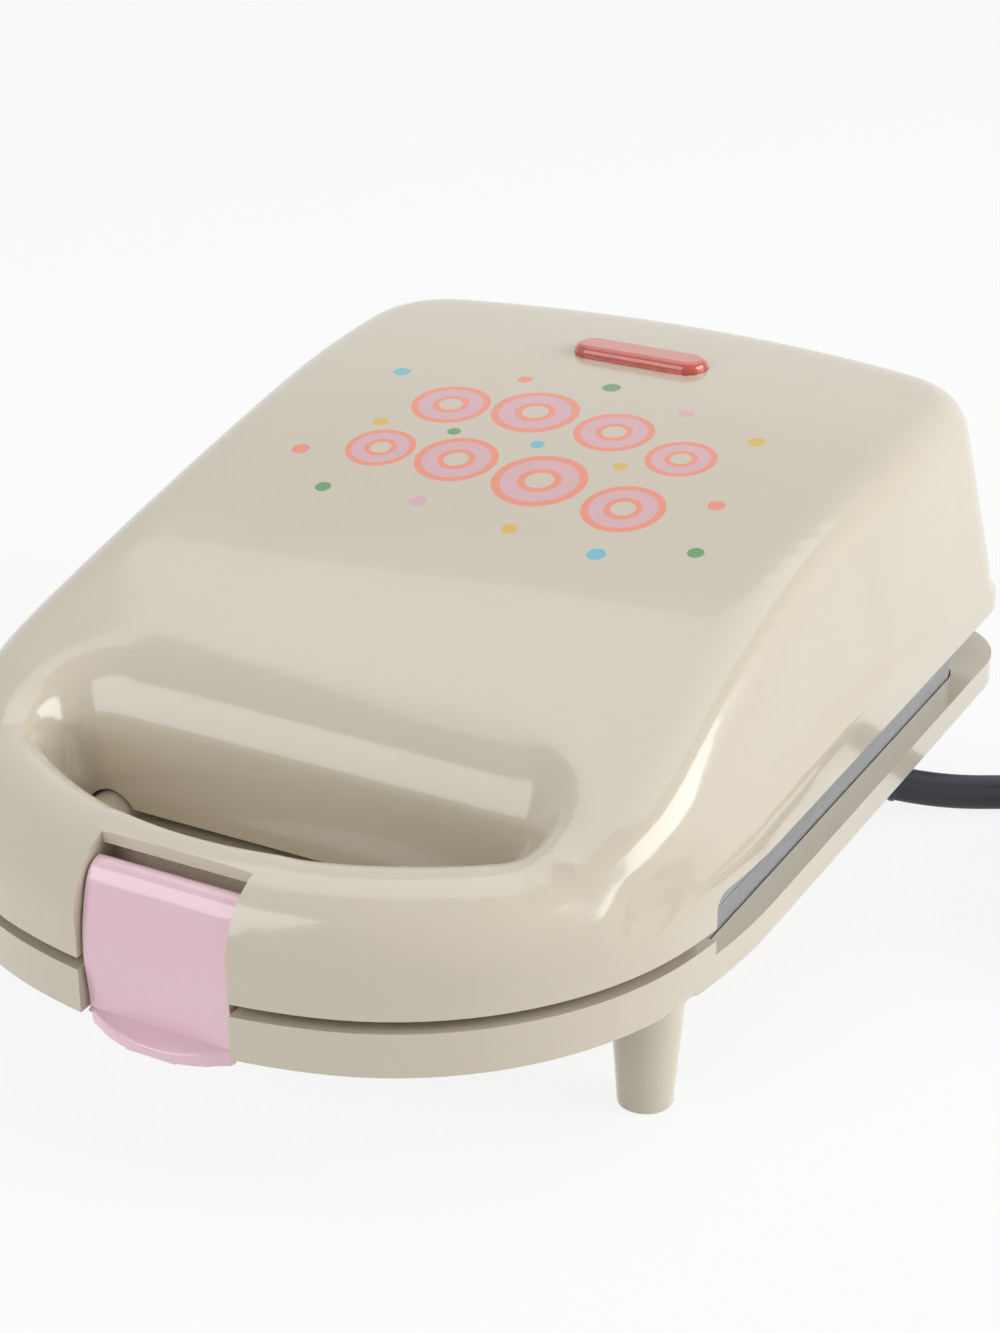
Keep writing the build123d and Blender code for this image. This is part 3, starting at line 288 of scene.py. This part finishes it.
def turn_points(start, outward, radius, rise, angle, count):
    """Points of part of a turn, clockwise from above, set outside it as the curve cuts inside."""
    forward = outward.cross(UPWARD)
    centre = start - outward * radius
    step = angle / count
    wide = radius * 8 / (6 + 2 * math.cos(step))
    points = []
    for index in range(count):
        part = (index + 0.5) * step
        flat = outward * math.cos(part) + forward * math.sin(part)
        points.append(centre + flat * wide + UPWARD * (rise * (index + 0.5) / count))
    return points


def coil_points(start, outward):
    """Points of all the turns, with the place and the direction in which the last one ends."""
    points = []
    for shrink, climb in HALF_TURNS:
        radius = COIL_RADIUS - shrink * COIL_PITCH / 2
        rise = climb * COIL_PITCH
        points += turn_points(start, outward, radius, rise, math.pi, HALF_TURN_POINTS)
        start = start - outward * 2 * radius + UPWARD * climb * COIL_PITCH
        outward = -outward
    points += turn_points(start, outward, COIL_RADIUS, 0, math.pi / 2, QUARTER_TURN_POINTS)
    end = start - outward * COIL_RADIUS + outward.cross(UPWARD) * COIL_RADIUS
    return points, end, -outward


turns, coil_end, tail_way = coil_points(coil_start, outward)
tail_start = coil_end + tail_way * CORD_WIDTH
tail_drop = UPWARD * (PLUG_AXIS - tail_start.z)
route += turns
route += [tail_start, tail_start + tail_way * TAIL_RUN,
          tail_start + tail_way * 2 * TAIL_RUN + tail_drop,
          tail_start + tail_way * 3 * TAIL_RUN + tail_drop]
print("points of the whole route:", len(route))

# %% [markdown]
# A flat lead has two cores side by side with a shallow groove between them. That
# section is drawn once as a closed curve, in millimetres, and the cord's curve carries
# it along. The radius of the cord's points scales the section down to metres.

# %% The cord
CORD_THICK = 0.0036
WEB_THICK = 0.0026
SECTION_POINTS = 40
SECTION_UNIT = 0.001


def cord_section():
    """Two round lobes, one above the other, joined by a thinner web."""
    lobe = CORD_THICK / 2
    groove = (CORD_THICK - WEB_THICK) / 2
    middle = CORD_WIDTH / 2 - lobe
    data = bpy.data.curves.new("cord_section", "CURVE")
    data.dimensions = "2D"
    spline = data.splines.new("POLY")
    spline.points.add(SECTION_POINTS - 1)
    for index, point in enumerate(spline.points):
        angle = 2 * math.pi * (index + 0.5) / SECTION_POINTS
        y = CORD_WIDTH / 2 * math.sin(angle)
        if abs(y) < middle:
            x = lobe - groove * math.cos(math.pi * y / (2 * middle)) ** 2
        else:
            x = math.sqrt(max(lobe ** 2 - (abs(y) - middle) ** 2, 0))
        point.co = (math.copysign(x, math.cos(angle)) / SECTION_UNIT, y / SECTION_UNIT, 0, 1)
    spline.use_cyclic_u = True
    section = bpy.data.objects.new("cord_section", data)
    scene.collection.objects.link(section)
    section.hide_render = True
    section.hide_viewport = True
    return section


cord_data = bpy.data.curves.new("cord", "CURVE")
cord_data.dimensions = "3D"
cord_data.twist_mode = "Z_UP"
cord_data.resolution_u = 8
cord_data.bevel_mode = "OBJECT"
cord_data.bevel_object = cord_section()
cord_data.use_fill_caps = True
spline = cord_data.splines.new("NURBS")
spline.points.add(len(route) - 1)
for point, place in zip(spline.points, route):
    point.co = (*place, 1)
    point.radius = SECTION_UNIT
spline.order_u = 3
spline.use_endpoint_u = True
cord = bpy.data.objects.new("cord", cord_data)
scene.collection.objects.link(cord)
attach(cord, "base")
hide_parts("cord_lead", "cord_coil", "cord_tail")
print("control points of the cord:", len(spline.points))

# %% [markdown]
# The lid is one moulding whose surfaces flow into each other: the round handle, the
# flared finger opening, the long arc of the top and its leaning flanks. An engineering
# model joins such surfaces along hard lines. So the next steps work on a copy of it,
# and three small helpers keep them short: an operator acts on all that is selected, so
# everything else is deselected before each one.

# %% Working with one piece at a time
MERGE_WITHIN = 0.000001


def select_only(piece):
    bpy.ops.object.select_all(action="DESELECT")
    piece.select_set(True)
    bpy.context.view_layer.objects.active = piece


def merged_copy(node, name):
    """A copy of a model piece whose loose triangles are joined into one surface."""
    piece = bpy.data.objects.new(name, nodes[node].data.copy())
    scene.collection.objects.link(piece)
    select_only(piece)
    bpy.ops.object.mode_set(mode="EDIT")
    bpy.ops.mesh.select_all(action="SELECT")
    bpy.ops.mesh.remove_doubles(threshold=MERGE_WITHIN)
    bpy.ops.object.mode_set(mode="OBJECT")
    return piece


def apply_modifier(piece, kind, **settings):
    """Adds a modifier with its settings and makes its result the piece's mesh."""
    modifier = piece.modifiers.new(kind.lower(), kind)
    for name, value in settings.items():
        setattr(modifier, name, value)
    select_only(piece)
    bpy.ops.object.modifier_apply(modifier=modifier.name)


# %% [markdown]
# The triangles of an engineering model are long and thin, and smooth shading shows
# them as dark streaks. The Remesh modifier wraps the piece in an even net of small
# faces instead. In its sharp mode the net keeps the edges of rims and slots. Each step
# of the octree's depth halves the size of a face.

# %% An even net over a piece
NET_SCALE = 0.72
NET_SHARPNESS = 1.0
SHELL_DEPTH = 8
LATCH_DEPTH = 7


def netted(node, name, body, depth):
    """A model piece wrapped in an even net that keeps its sharp edges."""
    piece = merged_copy(node, name)
    apply_modifier(piece, "REMESH", mode="SHARP", octree_depth=depth, scale=NET_SCALE,
                   sharpness=NET_SHARPNESS, use_remove_disconnected=False,
                   use_smooth_shade=True)
    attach(piece, body)
    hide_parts(node)
    print(name, "faces:", len(piece.data.polygons))
    return piece


lid_shell = netted("lid_cover", "lid_shell", "lid", SHELL_DEPTH)

# %% [markdown]
# Where many edges of the model meet in one point, the net pinches. Such a patch is cut
# out, on the right and on the left, and both holes are filled with fresh faces. The
# object is symmetric, so a place is always given for its right half alone.

# %% Mend the pinched corners
PINCH = Vector((0.0532, -0.0686, 0.0473))
PINCH_REACH = 0.0024


def apart(place, centre):
    """Distance from a point or from its mirror image on the left, whichever is nearer."""
    return (Vector((abs(place.x), place.y, place.z)) - centre).length


def refill(piece, centre, reach):
    """Cuts out a patch and its mirror image, and fills the holes with fresh faces."""
    select_only(piece)
    bpy.ops.object.mode_set(mode="EDIT")
    mesh = bmesh.from_edit_mesh(piece.data)
    for vertex in mesh.verts:
        vertex.select = apart(vertex.co, centre) < reach
    mesh.select_flush_mode()
    bmesh.update_edit_mesh(piece.data)
    bpy.ops.mesh.delete(type="VERT")
    bpy.ops.mesh.select_all(action="DESELECT")
    bpy.ops.mesh.select_mode(type="EDGE")
    bpy.ops.mesh.select_non_manifold()
    bpy.ops.mesh.fill_holes(sides=0)
    bpy.ops.mesh.select_more()
    bpy.ops.mesh.quads_convert_to_tris()
    bpy.ops.mesh.subdivide(number_cuts=1)
    bpy.ops.mesh.quads_convert_to_tris()
    bpy.ops.object.mode_set(mode="OBJECT")


refill(lid_shell, PINCH, PINCH_REACH)
print("lid_shell faces after mending:", len(lid_shell.data.polygons))

# %% [markdown]
# Smoothing moves each point of a net towards its neighbours, again and again. A vertex
# group says how far each point may follow, so that one place melts and the next stays
# sharp. Its weights come from a function of the point's place, with straight ramps
# between one zone and another.

# %% Softening a net here and there
SMOOTH_FACTOR = 0.5
FULL_SHARE = 0.55


def ramp(value, start, end):
    """0 up to the start, 1 from the end on, with a straight run between."""
    return min(max((value - start) / (end - start), 0.0), 1.0)


def near(place, centre, reach):
    """1 near a point or its mirror image on the left, falling to 0 at its reach."""
    return 1 - ramp(apart(place, centre), reach * FULL_SHARE, reach)


def soften(piece, weigh, steps):
    """Smooths a net, each point as far as weigh allows."""
    group = piece.vertex_groups.new(name="soft")
    for vertex in piece.data.vertices:
        group.add([vertex.index], weigh(vertex.co), "REPLACE")
    apply_modifier(piece, "SMOOTH", factor=SMOOTH_FACTOR, iterations=steps,
                   vertex_group="soft")
    piece.vertex_groups.clear()


# %% [markdown]
# The lid melts most where the ends of the handle run into the flanks, a little on its
# top, and not at all along its lower rim, round the latch and round the lens.

# %% Melt the lid's forms together
HANDLE_JOINS = [(Vector((0.057, -0.068, 0.045)), 0.017), (Vector((0.067, -0.061, 0.042)), 0.016)]
FLANK_X, FLANK_FRONT, FLANK_Z = 0.0685, -0.056, 0.0445
FLANK_STEP = 0.006
FLANK_COUNT = 8
FLANK_REACH = 0.008
FLANK_JOINS = [Vector((FLANK_X, FLANK_FRONT + FLANK_STEP * step, FLANK_Z))
               for step in range(FLANK_COUNT)]
RIM_HEIGHT = 0.0375
SKIRT_HEIGHT = 0.041
RIM_BAND = 0.002
TOP_BAND = 0.004
TOP_SHARE = 0.25
LATCH_HALF = 0.0155
LATCH_REAR = -0.086
LATCH_BAND = 0.003
LENS_PLACE = Vector((0, 0.0698, 0.0787))
LENS_STILL, LENS_CLEAR = 0.017, 0.02
MELT_STEPS = 60


def melt(place):
    """How much a point of the lid may move: most at the ends of the handle, least on rims."""
    handle = max(near(place, centre, reach) for centre, reach in HANDLE_JOINS)
    flank = max(near(place, centre, FLANK_REACH) for centre in FLANK_JOINS)
    rim = ramp(place.z, RIM_HEIGHT - RIM_BAND, RIM_HEIGHT)
    skirt = ramp(place.z, SKIRT_HEIGHT - RIM_BAND, SKIRT_HEIGHT)
    top = TOP_SHARE * ramp(place.z, RIM_HEIGHT, RIM_HEIGHT + TOP_BAND) + TOP_SHARE * skirt
    latch = ramp(max(abs(place.x) - LATCH_HALF, place.y - LATCH_REAR), 0, LATCH_BAND)
    lens = ramp((place - LENS_PLACE).length, LENS_STILL, LENS_CLEAR)
    return max(handle * rim, flank * skirt, top) * latch * lens


soften(lid_shell, melt, MELT_STEPS)
print("lid_shell smoothed in", MELT_STEPS, "steps")

# %% [markdown]
# The base and the latch get the same even net, and keep their forms almost as they are:
# only the tops of the front feet and the curled tab of the latch are smoothed. At the
# end, faces are shaded as one surface wherever they meet at a small angle.

# %% Base and latch
FOOT_TOP = Vector((0.0665, -0.0520, 0.0185))
FOOT_REACH = 0.004
FOOT_STEPS = 20
TAB_HEIGHT = 0.019
TAB_BAND = 0.001
TAB_STEPS = 12
CREASE = math.radians(35)

base_shell = netted("base_cover", "base_shell", "base", SHELL_DEPTH)
latch_lever = netted("latch", "latch_lever", "latch", LATCH_DEPTH)
soften(base_shell, lambda place: near(place, FOOT_TOP, FOOT_REACH), FOOT_STEPS)
soften(latch_lever, lambda place: 1 - ramp(place.z, TAB_HEIGHT, TAB_HEIGHT + TAB_BAND), TAB_STEPS)
for piece in (lid_shell, base_shell, latch_lever):
    select_only(piece)
    bpy.ops.object.shade_smooth_by_angle(angle=CREASE)

# %% [markdown]
# The screws that hold the plates are seen when the lid is open. Each has a pan head with
# a cross recess, which is cut with two crossed bars as a punch would do it. The bars are
# cubes, stretched in place, and the boolean modifier takes them out of all heads at once.
# Each cross is turned a little further than the one before, as screws come to rest.

# %% Cross recesses of the plate screws
RECESS_SPAN = 0.0036
RECESS_WIDTH = 0.0008
RECESS_DEPTH = 0.0011
HEAD_TURN = 0.4
SIDE_HEADS = [(-0.049, 0.0128), (0.049, 0.0128), (0, -0.0435)]
UPPER_HEADS = SIDE_HEADS + [(-0.058, 0.0703), (0.058, 0.0703)]
LOWER_HEADS = SIDE_HEADS + [(0, 0.0691)]


def punch(heads, height):
    """Two crossed bars at each head, as one object."""
    bpy.ops.object.select_all(action="DESELECT")
    bars = []
    for index, (x, y) in enumerate(heads):
        for turn in (HEAD_TURN * index, HEAD_TURN * index + math.pi / 2):
            bpy.ops.mesh.primitive_cube_add(size=1, location=(x, y, height), rotation=(0, 0, turn),
                                            scale=(RECESS_SPAN, RECESS_WIDTH, 2 * RECESS_DEPTH))
            bars.append(bpy.context.object)
    for bar in bars:
        bar.select_set(True)
    bpy.ops.object.join()
    return bpy.context.object


def recessed_screws(node, name, body, heads):
    """The screws of one plate, with a cross cut into each head from below."""
    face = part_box(node)[0][2]
    bars = punch(heads, face)
    screws = merged_copy(node, name)
    apply_modifier(screws, "BOOLEAN", operation="DIFFERENCE", object=bars, solver="EXACT",
                   use_self=True)
    bpy.data.objects.remove(bars)
    bpy.ops.object.shade_smooth_by_angle(angle=CREASE)
    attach(screws, body)
    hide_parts(node)
    print(name, "faces:", len(screws.data.polygons))
    return screws


upper_screws = recessed_screws("upper_plate_screws", "upper_recessed_screws", "lid", UPPER_HEADS)
lower_screws = recessed_screws("lower_plate_screws", "lower_recessed_screws", "base", LOWER_HEADS)

# %% [markdown]
# Both shells are moulded in a warm cream plastic with a high gloss, and the latch in a
# pink one. Such a surface is never quite even: it has a very shallow, slow waviness that
# bends the reflections, and fine grains under the gloss.

# %% Cream and pink plastic
CREAM = from_screen(205, 195, 175)
CREAM_PALE = from_screen(209, 200, 181)
PINK = from_screen(234, 196, 209)
PINK_PALE = from_screen(238, 202, 214)
SHELL_ROUGHNESS = 0.16
LATCH_ROUGHNESS = 0.15
CLOUD_SCALE, GRAIN_SCALE, WAVE_SCALE = 35, 2600, 60
GRAIN_ROUGHNESS = 0.06
GRAIN_HEIGHT = 0.004
WAVE_DEPTH = 0.00012


def moulded(name, colour, pale, roughness, decorate=None):
    """Glossy plastic. Decorate may lay a print over its colour."""
    recipe = Recipe(name)
    cloud = recipe.noise(CLOUD_SCALE, 3)
    grain = recipe.noise(GRAIN_SCALE, 2)
    wave = recipe.noise(WAVE_SCALE, 1)
    tint = recipe.blend(cloud, colour, pale)
    if decorate:
        tint = decorate(recipe, tint)
    return recipe.finish(Base_Color=tint, Roughness=roughness + grain * GRAIN_ROUGHNESS,
                         Coat_Weight=0.6, Coat_Roughness=0.06, IOR=1.5,
                         Normal=recipe.bump(grain * GRAIN_HEIGHT + wave, WAVE_DEPTH))


finish_with(moulded("cream_plastic", CREAM, CREAM_PALE, SHELL_ROUGHNESS), base_shell)
finish_with(moulded("pink_plastic", PINK, PINK_PALE, LATCH_ROUGHNESS), latch_lever)
print("plastic on:", base_shell.name, latch_lever.name)

# %% [markdown]
# The lid carries a cheerful printed pattern: two rows of rings, like the cakes that it
# bakes, among loose dots. Ink has no thickness worth modelling, so each motif is a mask:
# the distance to its centre, cut off at its radius with a soft edge. The masks are laid
# over the plastic's colour one after another, as a printer lays inks. The places and
# radii of the motifs are in millimetres, which are easier to read.

# %% Printed rings and dots
PER_METRE = 1000
INK_EDGE = 0.00018
PRINT_HEIGHT = 0.06
CORAL = from_screen(238, 140, 112)
ROSE = from_screen(216, 172, 178)
YELLOW = from_screen(218, 182, 70)
GREEN = from_screen(88, 152, 84)
SKY = from_screen(108, 186, 204)
ICING_SHARE = 0.82
HOLE_LINE_SHARE = 0.46
HOLE_SHARE = 0.3
RINGS = [(-24, 37, 7.6), (-7.5, 40, 8.4), (10, 38, 7.6), (26, 33, 6.6),
         (-28, 17.5, 6.6), (-12.5, 18.5, 7.8), (5.5, 17, 8.8), (24, 13.5, 7.6)]
DOTS = [(-40, 46, 1.7, SKY), (-33, 26, 1.5, YELLOW), (-16, 52, 1.5, CORAL), (1, 55, 1.8, GREEN),
        (19, 50, 1.5, ROSE), (36, 44, 1.7, YELLOW), (-42, 12, 1.7, CORAL), (-31, 2, 1.5, GREEN),
        (-12, 3.5, 1.7, ROSE), (8, 1, 1.5, YELLOW), (26, -1, 1.7, SKY), (39, 20, 1.6, CORAL),
        (-1, 28.5, 1.4, SKY), (-18, 27.5, 1.3, GREEN), (17, 26.5, 1.4, YELLOW), (42, 5, 1.5, GREEN)]


def printed(recipe, ground):
    """The ground colour with all the motifs printed on it."""
    flat = recipe.node("ShaderNodeVectorMath", {"operation": "MULTIPLY"},
                       {0: recipe.place, 1: (1, 1, 0)})
    top = recipe.along("Z") > PRINT_HEIGHT

    def ink(colour, x, y, radius):
        """The ground with one round spot of a colour on it."""
        away = recipe.node("ShaderNodeVectorMath", {"operation": "DISTANCE"},
                           {0: flat, 1: (x / PER_METRE, y / PER_METRE, 0)}, "Value")
        return recipe.blend(away.edge(radius / PER_METRE, INK_EDGE) * top, ground, colour)

    layers = ((1.0, CORAL), (ICING_SHARE, ROSE), (HOLE_LINE_SHARE, CORAL), (HOLE_SHARE, ground))
    for x, y, radius in RINGS:
        for share, colour in layers:
            ground = ink(colour, x, y, radius * share)
    for x, y, radius, colour in DOTS:
        ground = ink(colour, x, y, radius)
    return ground


lid_plastic = moulded("printed_cream_plastic", CREAM, CREAM_PALE, SHELL_ROUGHNESS, printed)
finish_with(lid_plastic, lid_shell)
print("motifs printed:", len(RINGS), "rings and", len(DOTS), "dots")

# %% [markdown]
# The signal lens is clear coral plastic, polished like glass. Its flat top is painted pale,
# as painted light of the lamp holder shining through, and the deep coral left where it bends
# down is a painted shade line round it. The distance to the lens's middle line tells the two apart.

# %% Clear coral plastic of the signal lens
LENS_LINE = 0.0105
LENS_FLAT = 0.0027
LENS_SOFT = 0.0007
LENS_DEEP = from_screen(176, 48, 34)
LENS_BRIGHT = from_screen(214, 84, 62)
LENS_PAINTED_LIGHT = from_screen(208, 110, 94)
STREAK_SCALE = 420
STREAK_SHARE = 0.25

lens_recipe = Recipe("lens_plastic")
past_end = (lens_recipe.along("X").size() - LENS_LINE).at_least(0.0)
aside = lens_recipe.along("Y") - LENS_PLACE.y
away = (past_end * past_end + aside * aside).root()
streak = lens_recipe.noise(STREAK_SCALE, 2)
# Painted light and shade: the flat top is painted pale for the holder shining through, and the deep
# coral where the lens bends down is painted shade.
flat_top_light = away.edge(LENS_FLAT, LENS_SOFT)
deep_coral_and_shade = lens_recipe.blend(streak, LENS_DEEP, LENS_BRIGHT)
painted_light_mask = flat_top_light * ((1 - STREAK_SHARE) + streak * STREAK_SHARE)
lens_recipe.finish(Base_Color=lens_recipe.blend(painted_light_mask, deep_coral_and_shade, LENS_PAINTED_LIGHT), Roughness=0.07,
                   IOR=1.49, Coat_Weight=0.8, Coat_Roughness=0.03)
dress(lens_recipe.material, "indicator_lens")
print("lens material:", lens_recipe.material.name)

# %% [markdown]
# The cooking plates are cast aluminium with a grey nonstick coat. The coat is full of
# tiny flakes, so its colour, its gloss and its surface all follow one fine speckle.

# %% Nonstick plates
SPECK_SCALE = 1500
SPECK_ROUGHNESS = 0.14
SPECK_DEPTH = 0.00006
PLATE_DARK = from_screen(164, 167, 173)
PLATE_PALE = from_screen(192, 195, 200)

plate_recipe = Recipe("nonstick_plate")
speck = plate_recipe.noise(SPECK_SCALE, 2)
plate_recipe.finish(Base_Color=plate_recipe.blend(speck, PLATE_DARK, PLATE_PALE), Metallic=0.6,
                    Roughness=0.34 + speck * SPECK_ROUGHNESS,
                    Normal=plate_recipe.bump(speck, SPECK_DEPTH))
dress(plate_recipe.material, "upper_plate", "lower_plate")
print("plate material:", plate_recipe.material.name)

# %% [markdown]
# Bare metal differs by its colour and by how sharply it reflects. Rolling and handling
# leave faint smears on it, which darken it a little and make it rougher.

# %% Steel, sheet and brass
SMEAR_SCALE = 900
SMEAR_SHADE = 0.85
SMEAR_ROUGHNESS = 0.12


def metal(name, colour, roughness):
    """Bare metal with faint smears."""
    recipe = Recipe(name)
    smear = recipe.noise(SMEAR_SCALE, 3)
    shade = tuple(SMEAR_SHADE * value for value in colour)
    return recipe.finish(Base_Color=recipe.blend(smear, colour, shade), Metallic=1.0,
                         Roughness=roughness + smear * SMEAR_ROUGHNESS)


zinc = metal("zinc_steel", from_screen(190, 192, 196), roughness=0.28)
dress(zinc, "latch_pin", "hinge_pins")
finish_with(zinc, upper_screws, lower_screws)
bright_sheet = metal("bright_sheet", from_screen(205, 206, 208), roughness=0.2)
dress(bright_sheet, "upper_reflector", "lower_reflector", "thermal_fuse")
heater_steel = metal("heater_steel", from_screen(120, 116, 112), roughness=0.4)
dress(heater_steel, "upper_heater", "lower_heater")
brass = metal("brass", from_screen(214, 186, 120), roughness=0.22)
dress(brass, "plug_blades")
print("metals:", zinc.name, bright_sheet.name, heater_steel.name, brass.name)

# %% [markdown]
# Ceramic, the woven glass sleeve of the inner wires and the cord's rubber have no gloss
# to speak of. What tells them apart is the size and the depth of their grain.

# %% Ceramic, glass sleeve and rubber
MATTE_ROUGHNESS = 0.1


def matte(name, dark, pale, scale, roughness, depth):
    """A dull material with a grain of a given scale and depth."""
    recipe = Recipe(name)
    grain = recipe.noise(scale, 3)
    return recipe.finish(Base_Color=recipe.blend(grain, dark, pale),
                         Roughness=roughness + grain * MATTE_ROUGHNESS,
                         Normal=recipe.bump(grain, depth))


ceramic = matte("ceramic", from_screen(222, 216, 202), from_screen(236, 232, 222),
                scale=700, roughness=0.6, depth=0.00008)
dress(ceramic, "terminal_block", "thermostat")
holder = matte("lamp_holder", from_screen(214, 208, 196), from_screen(226, 222, 212),
               scale=500, roughness=0.5, depth=0.00005)
dress(holder, "indicator_lamp")
sleeve = matte("glass_sleeve", from_screen(205, 196, 168), from_screen(222, 214, 190),
               scale=1800, roughness=0.7, depth=0.0001)
dress(sleeve, "lower_wiring")
rubber = matte("cord_sheath", from_screen(52, 56, 64), from_screen(62, 66, 75),
               scale=1200, roughness=0.38, depth=0.00006)
dress(rubber, "strain_relief", "plug")
cord.data.materials.append(rubber)
strap = matte("tie_strap", from_screen(40, 40, 43), from_screen(52, 52, 55),
              scale=1500, roughness=0.55, depth=0.0001)
dress(strap, "cord_tie")
print("dull materials:", ceramic.name, holder.name, sleeve.name, rubber.name, strap.name)

# %% [markdown]
# A studio floor is white in the picture but must not flood the object with light. The
# Light Path node tells who is looking. The camera, and rays that reach the floor by way
# of metal or glass, see mostly a white glow. Light that falls on the object sees plain
# paper, which still takes the shadow.

# %% White floor
FLOOR_SIZE = 60
FLOOR_LEVEL = -0.0004
FLOOR_GLOW = 0.86
FLECK_SCALE = 300
PAPER_DARK = (0.86, 0.86, 0.86)
PAPER_PALE = (0.9, 0.9, 0.9)


def seen_rays(tree):
    """1 for rays from the camera, also by way of metal or glass, and 0 for light on the object."""
    path = tree.nodes.new("ShaderNodeLightPath")
    seen = path.outputs["Is Camera Ray"]
    for kind in ("Is Glossy Ray", "Is Transmission Ray"):
        either = tree.nodes.new("ShaderNodeMath")
        either.operation = "MAXIMUM"
        tree.links.new(seen, either.inputs[0])
        tree.links.new(path.outputs[kind], either.inputs[1])
        seen = either.outputs[0]
    return seen


bpy.ops.object.select_all(action="DESELECT")
bpy.ops.mesh.primitive_plane_add(size=FLOOR_SIZE, location=(0, 0, FLOOR_LEVEL))
floor = bpy.context.object
floor.name = "floor"
floor_recipe = Recipe("floor_paper")
fleck = floor_recipe.noise(FLECK_SCALE, 2)
paper = floor_recipe.blend(fleck, PAPER_DARK, PAPER_PALE)
floor_recipe.finish(Base_Color=paper, Roughness=0.7)
surface = Wire(floor_recipe, floor_recipe.shader.outputs[0])
glow = floor_recipe.node("ShaderNodeEmission", {}, {"Color": (1.0, 1.0, 1.0), "Strength": 1.0})
glow_share = Wire(floor_recipe, seen_rays(floor_recipe.tree)) * FLOOR_GLOW
mixed = floor_recipe.node("ShaderNodeMixShader", {}, {0: glow_share, 1: surface, 2: glow})
floor_recipe.feed(floor_recipe.tree.nodes["Material Output"].inputs["Surface"], mixed)
finish_with(floor_recipe.material, floor)
print("floor:", FLOOR_SIZE, "m wide")

# %% [markdown]
# The world follows the same idea: full white behind the object, and a low, even fill on
# it. Three large soft lamps do the rest. The one in front fills the finger opening, the
# one on the right draws the long highlight along the flank, and the one above lifts the
# top.

# %% World and lamps
WORLD_LEVEL = 0.3
WHITE_LEVEL = 1.0

world = bpy.data.worlds.new("studio")
world.use_nodes = True
scene.world = world
world_tree = world.node_tree
background = world_tree.nodes["Background"]
background.inputs["Color"].default_value = (1, 1, 1, 1)
level = world_tree.nodes.new("ShaderNodeMapRange")
level.inputs["To Min"].default_value = WORLD_LEVEL
level.inputs["To Max"].default_value = WHITE_LEVEL
world_tree.links.new(seen_rays(world_tree), level.inputs["Value"])
world_tree.links.new(level.outputs["Result"], background.inputs["Strength"])


def soft_box(name, place, target, width, height, watts):
    """A rectangular lamp that looks at a point."""
    data = bpy.data.lights.new(name, "AREA")
    data.shape = "RECTANGLE"
    data.size, data.size_y, data.energy = width, height, watts
    lamp = bpy.data.objects.new(name, data)
    lamp.location = place
    lamp.rotation_euler = (Vector(target) - Vector(place)).to_track_quat("-Z", "Y").to_euler()
    scene.collection.objects.link(lamp)
    print(name, watts, "W")


soft_box("top_light", place=(-0.1, 0.35, 1.1), target=(0, 0, 0.04),
         width=1.2, height=0.8, watts=3.0)
soft_box("front_light", place=(-0.5, -1.0, 0.7), target=(0, -0.05, 0.04),
         width=0.85, height=0.95, watts=6.1)
soft_box("right_light", place=(1.0, 0.3, 0.5), target=(0.05, 0.03, 0.04),
         width=0.9, height=0.7, watts=9.6)

scene.view_settings.view_transform = "Standard"
